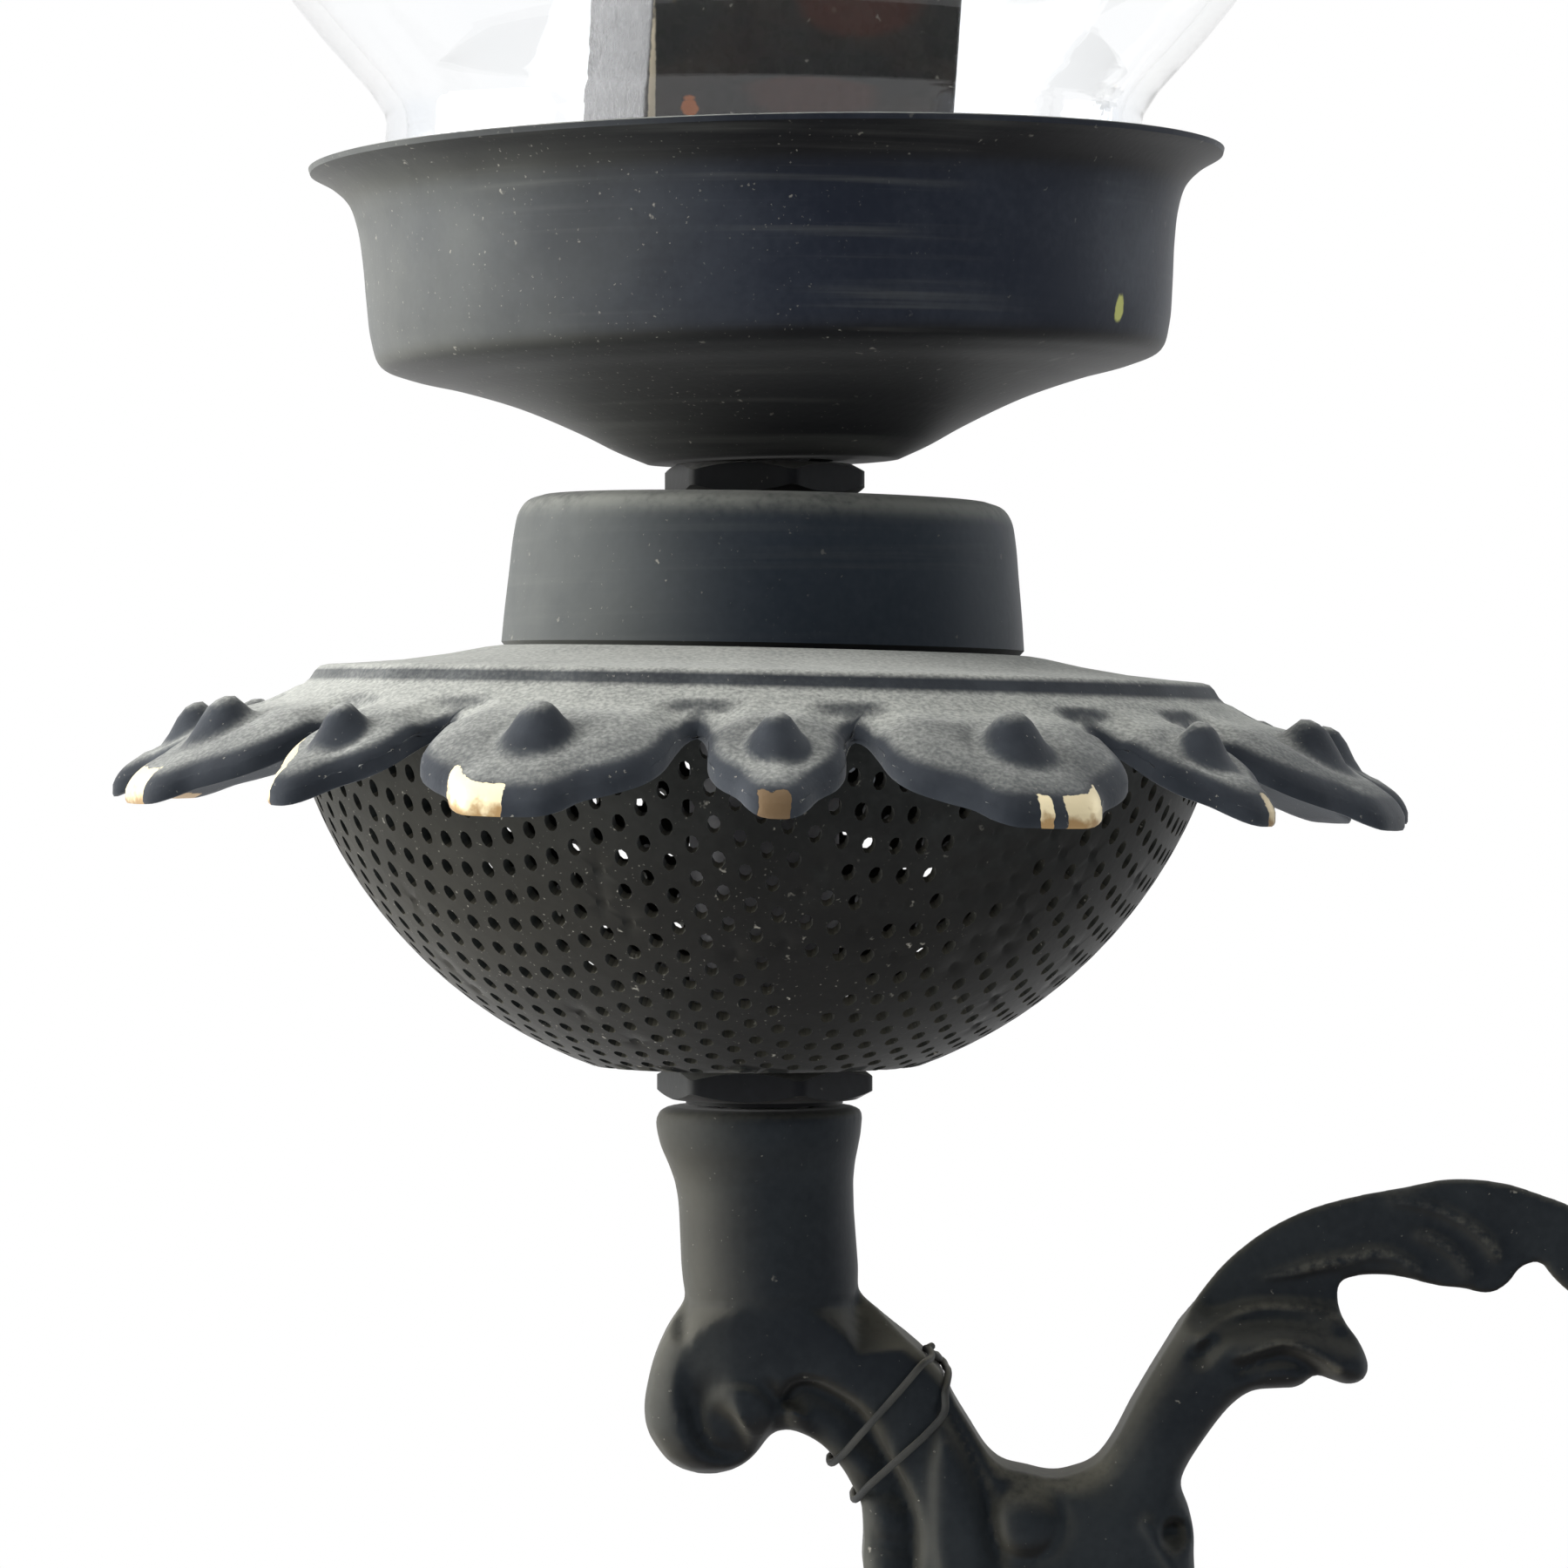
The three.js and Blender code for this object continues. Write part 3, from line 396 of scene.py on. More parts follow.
def sheet(face, wall):
    """A closed outline round an open line: the line, and the same line one wall away to its left."""
    face = np.array(face, float)
    along = np.gradient(face, axis=0)
    along /= np.linalg.norm(along, axis=1)[:, None]
    left = np.stack([-along[:, 1], along[:, 0]], axis=1)
    rim = face[-1] + left[-1] * wall / 2 + along[-1] * abs(wall) / 2
    return [*map(tuple, face), tuple(rim), *map(tuple, (face + left * wall)[::-1])]


# %% From points to a piece of the lamp
def mesh_of(name, part, sharp=35):
    """A mesh in metres from points and faces in millimetres, smooth up to the given angle."""
    points, faces = part
    mesh = bpy.data.meshes.new(name)
    mesh.from_pydata([tuple(c * MM for c in point) for point in points], [], [tuple(f) for f in faces])
    work = bmesh.new()
    work.from_mesh(mesh)
    bmesh.ops.recalc_face_normals(work, faces=work.faces)
    work.to_mesh(mesh)
    work.free()
    mesh.shade_smooth()
    mesh.set_sharp_from_angle(angle=math.radians(sharp))
    return mesh


def noted(mesh, name, values):
    """Write one number for each point into the mesh, for its finish to read."""
    note = mesh.attributes.new(name, "FLOAT", "POINT")
    note.data.foreach_set("value", np.asarray(values, np.float32))


def hang(name, mesh, finish, body, nodes, place=Matrix.Identity(4)):
    """Put a mesh in the scene, on its body, in place of its CAD nodes."""
    mesh = mesh.copy()
    mesh.transform(place)
    mesh.materials.append(finish)
    piece = bpy.data.objects.new(name, mesh)
    bpy.context.scene.collection.objects.link(piece)
    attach(piece, body)
    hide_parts(*nodes)
    return piece


def on_arms(base, mesh, finish, tilt=0.0, pivot=0.0, body="lamp", turn=(0, 0, 0), shift=0.0):
    """The same mesh on all three arms, tilted and shifted a little as the loose pieces are."""
    seat_point = Matrix.Translation((0, 0, pivot * MM))
    aside = Matrix.Translation((shift * MM, 0, 0))
    lean = Matrix.Rotation(math.radians(tilt), 4, "Y")
    for arm in range(ARMS):
        spin = Matrix.Rotation(math.radians(turn[arm]), 4, "Z")
        rides = body if body == "lamp" else f"{body}_{arm + 1}"
        place = seat(arm) @ aside @ seat_point @ lean @ spin @ seat_point.inverted()
        hang(f"{base}_{arm + 1}_look", mesh, finish, rides, [f"{base}_{arm + 1}"], place)
    print(base, len(mesh.polygons), "faces")


def tube(path, radius, sides=14, closed=False):
    """A round bar along a path of points. `radius` is one number or one for each point."""
    path = np.array(path, float)
    count = len(path)
    sizes = np.broadcast_to(radius, count)
    if closed:
        along = np.roll(path, -1, axis=0) - np.roll(path, 1, axis=0)
    else:
        along = np.gradient(path, axis=0)
    along /= np.linalg.norm(along, axis=1)[:, None]
    side = np.cross(along[0], (0.31, 0.17, 0.94))
    points, faces = [], []
    for index in range(count):
        side = side - along[index] * side.dot(along[index])
        side /= np.linalg.norm(side)
        other = np.cross(along[index], side)
        for step in range(sides):
            angle = step * 2 * math.pi / sides
            spoke = side * math.cos(angle) + other * math.sin(angle)
            points.append(tuple(path[index] + sizes[index] * spoke))
    for index in range(count if closed else count - 1):
        here, ahead = index * sides, (index + 1) % count * sides
        shift = 0
        if closed and index == count - 1:
            gaps = [math.dist(points[here], points[ahead + step]) for step in range(sides)]
            shift = gaps.index(min(gaps))
        for step in range(sides):
            side_step = (step + 1) % sides
            far = ahead + (side_step + shift) % sides
            faces.append((here + step, here + side_step, far, ahead + (step + shift) % sides))
    if not closed:
        faces += [tuple(range(sides)), tuple(range((count - 1) * sides, count * sides))]
    return points, faces


print("mesh helpers ready")

# %% [markdown]
# ## Old black paint
#
# Seen close, the paint is not black but a very dark blue-grey under a film of dust. Dust could be a
# painted picture, but then it would have to be drawn again for every piece. Here it follows from the
# shape: it lies where the surface looks up, breaks into patches by noise, and shows as single pale
# grains on the sides. A little sheen stands for the dust film, which glows when light grazes it.
# Two marks are painted light: faces that look down are darkened as painted shade, and faces that
# look left turn pale, partly with dust and partly as painted light from the left.

# %% Painted finishes
DUST = (0.40, 0.41, 0.37)
WARM_DUST = (0.26, 0.245, 0.19)
GRAIN = (0.46, 0.44, 0.38)
PAINTED_UNDER_SHADE = (0.006, 0.0055, 0.005)


def painted(
    name, dark, light, side=0.3, streaks=0.0, dust=0.7, grains=0.35, rough=0.5, settled=DUST, stains=()
):
    """Old paint: two tones, painted shade on faces that look down, streaks round a turned piece, settled
    dust, a pale left side that is partly dust and partly painted light, specks and single stains.
    """
    paint = Finish(name)
    cloud = paint.noise(16, 4)
    fine = paint.noise(0.9, 5, seed=2.3)
    patches = paint.noise(9, 4, seed=4.1)
    tone = paint.mix((cloud * 0.75 + fine * 0.25).ramp(0.35, 0.7), dark, light)
    # painted shade: faces that look down are mixed towards near black
    tone = paint.mix(paint.up.ramp(-0.1, -0.65) * 0.85, tone, PAINTED_UNDER_SHADE)
    if streaks:
        bands = paint.noise(7, 4, stretch=(0.12, 0.12, 5.0), seed=1.7)
        wipes = paint.noise(30, 2, seed=5.1)
        tone = paint.mix(bands.ramp(0.5, 0.75) * wipes.ramp(0.35, 0.65) * streaks, tone, DUST)
    fold = paint.attribute("fold")
    # partly dust, partly painted light: faces that look left turn pale by `side`, as if dusted and lit from
    # the left
    dust_and_light_left = paint.left.ramp(-0.1, 1.05) * (0.6 + 0.8 * patches) * side
    shelf = 1 - (1 - paint.attribute("ledge")) * paint.attribute("cast") * 0.7
    lying = paint.up.ramp(0.12, 0.75) * (fine * 0.5 + patches * 0.9).ramp(0.3, 0.8) * dust * shelf
    raised = fold.ramp(0.25, 1.0) * (fine * 0.6 + patches * 0.6).ramp(0.45, 0.75) * 0.34
    # cover holds the settled dust and also the painted light of the left side
    cover = 1 - (1 - dust_and_light_left) * (1 - lying) * (1 - raised)
    tone = paint.mix(cover, tone, settled)
    where = (patches + 0.4 * paint.left).ramp(0.3, 0.75)
    dots = paint.grains(0.6, grains, 0.4) * where
    flecks = paint.grains(1.7, grains * 0.5, 7.7) * (0.25 + where)
    tone = paint.mix((dots + flecks) * 0.5, tone, GRAIN)
    for spot, size, ragged, squeeze, colour, share in stains:
        tone = paint.mix(paint.near(spot, size, ragged, squeeze) * share, tone, colour)
    return paint.surface(
        {
            "Base Color": tone,
            "Roughness": rough + 0.3 * cover,
            "Specular IOR Level": 0.10,
            "Sheen Weight": 0.14,
            "Sheen Roughness": 0.35,
            "Normal": paint.bump(fine + dots * 0.5, 0.2, 0.1),
        }
    )


# A stain: its place in the first arm's frame, size, raggedness, squeeze, colour and strength.
WALL_STAINS = [((36.1, -22.6, 82.6), 0.95, 0.5, (1, 1, 0.55), (0.50, 0.52, 0.16), 1.0)]
WALL_STAINS += [((37.4, -21.6, 80.9), 0.5, 0.3, (1, 1, 1), (0.34, 0.34, 0.14), 0.9)]
WALL_STAINS += [((30, -20, 75.5), 5, 9, (1, 1, 2.2), (0.34, 0.34, 0.31), 0.12)]
CAP_STAINS = [((11.4, -24.5, 62.2), 0.45, 0.2, (1, 1, 1), (0.42, 0.36, 0.26), 1.0)]
BLUE_BLACK, BLUE_GREY = (0.012, 0.016, 0.027), (0.028, 0.034, 0.048)
CAP_BLACK, CAP_GREY = (0.017, 0.024, 0.034), (0.030, 0.038, 0.050)
turned_paint = painted("turned_paint", BLUE_BLACK, BLUE_GREY, 0.30, 0.12, grains=0.5, stains=WALL_STAINS)
cap_paint = painted("cap_paint", CAP_BLACK, CAP_GREY, 0.29, 0.07, grains=0.3, stains=CAP_STAINS)
CAST_BLACK, CAST_GREY = (0.010, 0.013, 0.017), (0.021, 0.026, 0.030)
cast_paint = painted("cast_paint", CAST_BLACK, CAST_GREY, 0.24, 0, 0.5, 0.16, 0.55, WARM_DUST)
BOWL_BLACK, BOWL_GREY = (0.010, 0.012, 0.012), (0.036, 0.039, 0.038)
bowl_paint = painted("bowl_paint", BOWL_BLACK, BOWL_GREY, 0.14, 0, 0.5, 0.6, 0.6, WARM_DUST)
nut_paint = painted("nut_paint", (0.003, 0.0035, 0.005), (0.008, 0.009, 0.012), 0.07, 0, 0.5, 0.1, 0.45)
print("painted finishes:", 5)

# %% [markdown]
# ## Heavy dust and chipped brass
#
# The leaf plate is the lamp's shelf: years of pale dust hide its paint, except on the steep sides of
# the knobs and lobes. At the lobes' tips the paint has broken off in flakes down to bright brass.
# The mesh carries a chip value that says where a tip was knocked, and noise gives the flakes their
# ragged edges, so the same finish serves lobes with and without chips. The brass is painted paler
# where it faces up and browner below, as painted light from above.

# %% Dusty plate finish
def dusty_plate():
    paint = Finish("dusty_plate")
    fine = paint.noise(0.45, 5, seed=1.2)
    patches = paint.noise(8, 4, seed=3.3)
    lobe = paint.attribute("lobe")
    tone = paint.mix(patches.ramp(0.35, 0.7), (0.020, 0.025, 0.033), (0.042, 0.049, 0.060))
    flat = paint.up + 0.08 * paint.left
    cover = flat.ramp(0.5, 0.97) * (0.45 + 0.8 * patches) * (1 - 0.35 * lobe)
    worn = (cover * (0.70 + 0.5 * fine)).ramp(0.05, 0.9)
    dust = paint.mix(fine.ramp(0.3, 0.7), (0.34, 0.35, 0.325), (0.54, 0.55, 0.51))
    tone = paint.mix(worn, tone, dust)
    tone = paint.mix(paint.grains(0.7, 0.35, 2.2) * 0.5, tone, GRAIN)
    tone = paint.mix(paint.grains(1.5, 0.3, 4.4) * 0.5 * worn, tone, (0.08, 0.085, 0.08))
    flake = (paint.attribute("chip") + 0.8 * (paint.noise(1.7, 3, seed=8.8) - 0.5)).ramp(0.47, 0.53)
    # painted light: the brass turns pale cream where it faces up and brown below, as if lit from above, with
    # random patches
    bright = (paint.noise(1.6, 3, seed=6.1) + 0.5 * paint.up).ramp(0.3, 0.65)
    metal = paint.mix(bright, (0.42, 0.27, 0.12), (0.92, 0.80, 0.52))
    metal = paint.mix(paint.attribute("stained"), metal, (0.16, 0.105, 0.055))
    tone = paint.mix(flake, tone, metal)
    return paint.surface(
        {
            "Base Color": tone,
            "Metallic": flake * 0.3,
            "Roughness": 0.8 - 0.35 * flake,
            "Specular IOR Level": 0.15,
            "Sheen Weight": 0.15,
            "Sheen Roughness": 0.5,
            "Normal": paint.bump(fine * 0.4 - flake, 0.3, 0.25),
        }
    )


plate_finish = dusty_plate()

# %% [markdown]
# ## Lacquer, steel, wire, glaze and glass
#
# The square sleeve is a glossy dark tube. Its reddish patches are painted reflections of the brass
# inside the gallery, a small orange spot is a painted highlight, and its left face is painted pale
# grey as if lit from the left. The screws, rods and bar are dull plated steel and the tie wire is old
# brass. The glass is clear with only a trace of blue and a painted blue-grey shade on the side that
# faces left, and a bulb's glass is frosted, so it can be seen against a white wall.

# %% Smooth finishes
def lacquer():
    coat = Finish("sleeve_lacquer")
    fine = coat.noise(1.2, 5, seed=0.7)
    cloud = coat.noise(12, 3, stretch=(1, 1, 1.6), seed=2.9)
    tone = coat.mix(cloud.ramp(0.4, 0.65), (0.010, 0.010, 0.011), (0.024, 0.018, 0.016))
    # painted reflections: two reddish-brown patches on the front face stand for the gallery's brass
    # reflected in the lacquer
    reflected_patches = [((11, -18, 115), 8, 5, (1, 1, 2)), ((5.7, -18, 105), 8.5, 5, (1, 1, 2.4))]
    for spot, size, ragged, squeeze in reflected_patches:
        tone = coat.mix(coat.near(spot, size, ragged, squeeze) * 0.85, tone, (0.060, 0.022, 0.017))
    # painted highlight: a small orange spot of reflected light low on the front face
    tone = coat.mix(coat.near((-7.6, -18.6, 103.4), 1.0, 0.6), tone, (0.45, 0.14, 0.04))
    tone = coat.mix(coat.near((-11.4, -19.8, 100), 0.55, 0.2, (1, 1, 0.015)), tone, (0.55, 0.48, 0.36))
    tone = coat.mix(fine.ramp(0.68, 0.82) * 0.15, tone, (0.42, 0.38, 0.34))
    tone = coat.mix(coat.grains(1.5, 0.3, 3.0) * 0.5, tone, GRAIN)
    # painted light: faces that look left are mixed towards pale grey, as if lit from the left
    tone = coat.mix(coat.left.ramp(0.7, 0.95) * (0.65 + 0.3 * cloud), tone, (0.34, 0.34, 0.35))
    rough = 0.25 + 0.25 * fine.ramp(0.4, 0.8)
    normal = coat.bump(coat.noise(5, 3), 0.15, 0.3)
    sockets = {"Base Color": tone, "Roughness": rough, "Specular IOR Level": 0.12, "Normal": normal}
    return coat.surface(sockets)


def plated(name, dark, light, metallic, rough):
    metal = Finish(name)
    cloud = metal.noise(6, 5)
    tone = metal.mix(cloud.ramp(0.35, 0.7), dark, light)
    tone = metal.mix(metal.up.ramp(0.5, 1) * 0.5, tone, WARM_DUST)
    rough = rough + 0.25 * cloud
    normal = metal.bump(metal.noise(0.8, 3), 0.15, 0.1)
    return metal.surface({"Base Color": tone, "Metallic": metallic, "Roughness": rough, "Normal": normal})


def glaze():
    coat = Finish("holder_glaze")
    tone = coat.mix(coat.noise(8, 4).ramp(0.4, 0.75), (0.72, 0.70, 0.63), (0.55, 0.50, 0.40))
    return coat.surface({"Base Color": tone, "Roughness": 0.22 + 0.3 * coat.noise(4, 4), "Coat Weight": 0.3})


def glass(name, tint, rough, film, edge):
    """Clear or frosted glass with a faint film, and a blue-grey painted shade on faces that look left,
    standing for the glass seen edge-on.
    """
    pane = Finish(name)
    smear = pane.noise(26, 3, stretch=(1, 1, 0.4), seed=6.6).ramp(0.45, 0.75)
    # the smear is a faint film on the glass; the blue-grey on faces that look left is painted shade
    film_and_edge_shade = pane.mix(smear * film + pane.left.ramp(0.75, 1.0) * edge, tint, (0.62, 0.72, 0.84))
    return pane.surface({"Base Color": film_and_edge_shade, "Roughness": rough, "IOR": 1.45, "Transmission Weight": 1.0})


sleeve_lacquer = lacquer()
steel = plated("plated_steel", (0.20, 0.20, 0.21), (0.36, 0.36, 0.37), 0.85, 0.35)
wire_finish = plated("old_wire", (0.018, 0.020, 0.020), (0.050, 0.050, 0.045), 0.1, 0.6)
bulb_cap_metal = plated("bulb_cap_metal", (0.45, 0.43, 0.38), (0.62, 0.60, 0.55), 0.9, 0.3)
holder_glaze = glaze()
clear_glass = glass("clear_glass", (0.99, 0.995, 1.0), 0.0, 0.06, 0.35)
frosted_glass = glass("frosted_glass", (0.95, 0.94, 0.90), 0.35, 0.3, 0.0)
print("finishes:", len(bpy.data.materials))

# %% [markdown]
# ## The turned stack: gallery, cap, nuts and tubes
#
# These pieces were spun or turned, so a lathe outline is the natural way to make them. The gallery's
# outline follows the photograph's left silhouette: a flat foot, a shallow cone, a tight turn into
# the wall, and a lip that flares out. The loose pieces don't sit quite level; each leans by about a
# degree, as it does in the photograph.

# %% Gallery and its lean
GALLERY_LEAN, CAP_LEAN, PLATE_LEAN = -1.3, 1.05, 1.25
GALLERY_SHIFT, CAP_SHIFT, BOWL_SHIFT = 0.95, -0.17, -0.8
LOOSE = 6.4
BORE = 5.3
GALLERY_WALL = 0.8
foot = levels("gallery_1")[0]
cone = [(13.4, 0.05), (16.5, 1.4), (20.3, 3.4), (26.8, 6.3), (33.4, 8.4), (38.6, 9.7), (41.2, 10.9)]
cone += [(42.1, 13.6)]
wall = [(42.5, 17.6), (42.8, 22.0), (43.3, 25.6), (44.2, 28.1), (46.0, 29.9), (48.1, 31.1)]
profile = smooth_line([(radius, foot + height) for radius, height in cone + wall], 6)
gallery_face = np.vstack([[(LOOSE, foot), (9.0, foot), (12.6, foot)], profile])
gallery = mesh_of("gallery", turned(sheet(gallery_face, GALLERY_WALL)))
on_arms("gallery", gallery, turned_paint, GALLERY_LEAN, foot, shift=GALLERY_SHIFT)

# %% Cap
cap_low, cap_high = levels("cap_1")
CAP_WALL = 1.2
cap_side = [(23.5, 0.1), (25.1, 0.7), (26.0, 1.9), (26.5, 4.2), (26.9, 8.0), (27.35, 12.5), (27.6, 15.6)]
side = smooth_line([(radius, cap_high - down) for radius, down in cap_side], 5)
cap_face = np.vstack([[(BORE, cap_high), (11.0, cap_high), (19.0, cap_high)], side])
cap = mesh_of("cap", turned(sheet(cap_face, -CAP_WALL)))
on_arms("cap", cap, cap_paint, CAP_LEAN, cap_low, shift=CAP_SHIFT)


# %% Hexagon nuts
def hexagon(flat, corner_share=0.985):
    """Radius of a hexagon at an angle, with its corners a little worn."""
    limit = flat / math.cos(math.pi / 6) * corner_share

    def radius(angle):
        off = (angle + math.pi / 6) % (math.pi / 3) - math.pi / 6
        return min(flat / math.cos(off), limit)

    return radius


def nut(flat, low, high, bore):
    """A nut whose ends are turned down to a cone, which leaves the arcs seen on its flats."""
    edge = hexagon(flat)
    slope = math.tan(math.radians(28))

    def side(level, inward):
        return lambda angle: (edge(angle), level + inward * (edge(angle) - flat * 0.97) * slope)

    return [(bore, low), (flat * 0.97, low), side(low, 1), side(high, -1), (flat * 0.97, high), (bore, high)]


neck_low, neck_high = levels("neck_nut_1")
neck = mesh_of("neck_nut", turned(nut(9.55, neck_low, neck_high, BORE)))
on_arms("neck_nut", neck, nut_paint, turn=(16, 41, 3))

lock_low, lock_high = levels("lock_nut_1")
COLLAR = 0.5
lock_part = joined(
    turned(nut(10.2, lock_low + COLLAR, lock_high, BORE)),
    turned([(BORE, lock_low), (8.3, lock_low), (8.3, lock_low + COLLAR * 2), (BORE, lock_low + COLLAR * 2)]),
)
on_arms("lock_nut", mesh_of("lock_nut", lock_part), nut_paint, turn=(19, 36, 1))


# %% Threaded tube and spacer tube
def threaded(radius, low, high, pitch=1.0, depth=0.5):
    """Right side of a threaded bar, from bottom to top, as a zigzag of small ridges."""
    count = int((high - low) / pitch)
    line = [(radius - depth, low)]
    for turn in range(count):
        line += [(radius, low + (turn + 0.5) * pitch), (radius - depth, low + (turn + 1) * pitch)]
    return line + [(radius - depth, high)]


tube_low, tube_high = levels("threaded_tube_1")
tube_outline = [(3.8, tube_low), *threaded(5, tube_low, tube_high), (3.8, tube_high)]
on_arms("threaded_tube", mesh_of("threaded_tube", turned(tube_outline, 48)), steel)
space_low, space_high = levels("spacer_tube_1")
spacer_outline = rounded(
    [(6.7, space_low, 0.2), (7.9, space_low, 0.3), (7.9, space_high, 0.3), (6.7, space_high, 0.2)]
)
on_arms("spacer_tube", mesh_of("spacer_tube", turned(spacer_outline, 64)), steel)

# %% [markdown]
# ## The leaf plate
#
# The plate is a casting: a dished middle with a ridge, and sixteen lobes that fall away from it,
# large and small by turns, each with a round knob. The lobes are soft pads with rounded edges. A
# polar grid fits them: its columns start evenly round the ridge and end evenly along the lobes'
# edge, and the height of each point follows from its distance to that edge.

# %% Lobe outlines
LOBE_PITCH = 22.5
LOBE_FRONT = -90 + 1.3
LARGE = [(14.3, 53.4), (13.3, 54.4), (12.6, 57), (12.0, 60.2), (10.7, 62.6), (8.3, 64.6), (5.9, 66.2)]
LARGE += [(4.9, 67.8), (3.4, 69.0), (1.5, 69.2), (0, 69.25)]
SMALL = [(8.2, 53.4), (7.3, 54.4), (6.6, 57), (6.3, 60.2), (5.2, 62.8), (3.4, 64.8), (2.5, 66.6)]
SMALL += [(1.6, 67.9)]
SMALL += [(0.6, 68.4), (0, 68.4)]


def lobe_edge(gap):
    """The edge of all the lobes as one closed line of points, `gap` millimetres apart."""
    spots = []
    for lobe in range(16):
        half = LARGE if lobe % 2 else SMALL
        middle = LOBE_FRONT + lobe * LOBE_PITCH
        both = [(-turn, radius) for turn, radius in half] + half[-2:0:-1]
        for turn, radius in both:
            angle = math.radians(middle + turn)
            spots.append((radius * math.cos(angle), radius * math.sin(angle)))
    return even_line(smooth_line(spots, 6, closed=True), gap, closed=True)


edge = lobe_edge(0.85)
print("columns round the plate:", len(edge))


# %% Height of a lobe
def smooth(value, low, high):
    share = np.clip((value - low) / (high - low), 0, 1)
    return share * share * (3 - 2 * share)


PLATE_SLOPE = 10 / 20.3
plate_crown = levels("cap_1")[0] - 0.3
PLATE_ROOT = plate_crown - 4.9
LOBE_THICK = 2.8
EDGE_ROUND = 1.7
KNOB_RING = 60.3
fine_edge = lobe_edge(0.2)
finder = kdtree.KDTree(len(fine_edge))
for index, spot in enumerate(fine_edge):
    finder.insert((*spot, 0), index)
finder.balance()


def to_edge(x, y):
    return np.array([finder.find((a, b, 0))[2] for a, b in zip(x.ravel(), y.ravel())]).reshape(x.shape)


def lobe_top(x, y, gap):
    """Height of the lobes' top: the falling plate, a soft pad, a knob and a round edge."""
    radius, turn = np.hypot(x, y), np.degrees(np.arctan2(y, x)) - LOBE_FRONT
    lobe = np.round(turn / LOBE_PITCH)
    middle = np.radians(LOBE_FRONT + lobe * LOBE_PITCH)
    large = lobe.astype(int) % 2
    level = PLATE_ROOT - PLATE_SLOPE * (radius - 49.5)
    pad = 0.9 * smooth(gap, 0, 5.5) * smooth(radius, 52, 57)
    from_knob = np.hypot(x - KNOB_RING * np.cos(middle), y - KNOB_RING * np.sin(middle))
    size = np.where(large, 3.1, 2.5)
    knob = np.where(large, 3.0, 2.5) * np.exp(-((from_knob / size / 0.84) ** 3.2))
    moat = 0.3 * np.exp(-(((from_knob / size - 1.4) / 0.3) ** 2))
    notch = np.minimum(np.abs(np.abs(turn - lobe * LOBE_PITCH) - np.where(large, 14.3, 8.2)), 30)
    ledge = 0.8 * smooth(radius, 50.3, 52.3) * (1 - smooth(notch, 1.8, 5.6)) * (1 - smooth(radius, 54.5, 57))
    fall = np.clip(1 - gap / EDGE_ROUND, 0, 1)
    worn = EDGE_ROUND * (1 - np.sqrt(np.clip(1 - fall**2, 0, 1)))
    return level + pad + knob - moat - ledge - worn


# %% Plate grid
def woven(grid):
    """Points and faces of a grid of (rows, columns, 3) points that closes both ways."""
    rows, columns, _ = grid.shape
    index = np.arange(rows * columns).reshape(rows, columns)
    after, below = np.roll(index, -1, axis=1), np.roll(index, -1, axis=0)
    faces = np.stack([index, after, np.roll(after, -1, axis=0), below], axis=2)
    return grid.reshape(-1, 3), faces.reshape(-1, 4).tolist()


def plate_mesh():
    columns = len(edge)
    start = math.atan2(edge[0, 1], edge[0, 0])
    angles = start + np.arange(columns) * 2 * math.pi / columns
    ring = np.stack([np.cos(angles), np.sin(angles)], axis=1)
    dish = [(BORE, 0), (20, 0), (28.2, 0), (29.6, -0.2), (33.5, -1.0), (38.4, -1.75), (43.2, -2.2)]
    dish += [(46.2, -2.4)]
    dish += [(46.9, -2.6), (47.4, -3.1), (47.9, -3.9), (48.5, -4.45), (49.3, -4.75)]
    rows = [np.column_stack([ring * radius, np.full(columns, plate_crown + fall)]) for radius, fall in dish]
    inner = ring * 50.0
    length = np.linalg.norm(edge - inner, axis=1)[:, None]
    out = (edge - inner) / length
    near = [1.9, 1.45, 1.05, 0.72, 0.45, 0.24, 0.09, 0]
    shares = np.linspace(0, 1, 20)[:-1]
    flat = [inner + out * (length - 2.4) * share for share in shares]
    flat += [edge - out * gap for gap in [2.4, *near]]
    for spot in flat:
        gap = to_edge(spot[:, 0], spot[:, 1])
        rows.append(np.column_stack([spot, lobe_top(spot[:, 0], spot[:, 1], gap)]))
    under = PLATE_ROOT - LOBE_THICK
    for gap, lift in [(0, 0.5), (0.15, 0.15), (0.5, 0), (1.6, 0), (4.0, 0)]:
        spot = edge - out * np.minimum(gap, length)
        level = under + lift - PLATE_SLOPE * (np.hypot(spot[:, 0], spot[:, 1]) - 49.5)
        rows.append(np.column_stack([spot, level]))
    back = [(49.3, plate_crown - 4.9 - LOBE_THICK), (48.3, plate_crown - 6.2), (46.2, plate_crown - 4.6)]
    back += [(38.4, plate_crown - 3.5), (29.0, plate_crown - 1.7), (20, plate_crown - 1.6)]
    back += [(BORE, plate_crown - 1.6)]
    rows += [np.column_stack([ring * radius, np.full(columns, level)]) for radius, level in back]
    grid = np.array(rows)
    mesh = mesh_of("leaf_plate", woven(grid), 50)
    flat_points = grid.reshape(-1, 3)
    chip, stained = chip_share(flat_points[:, 0], flat_points[:, 1])
    noted(mesh, "chip", chip)
    noted(mesh, "stained", stained)
    noted(mesh, "lobe", smooth(np.hypot(flat_points[:, 0], flat_points[:, 1]), 52, 57))
    return mesh


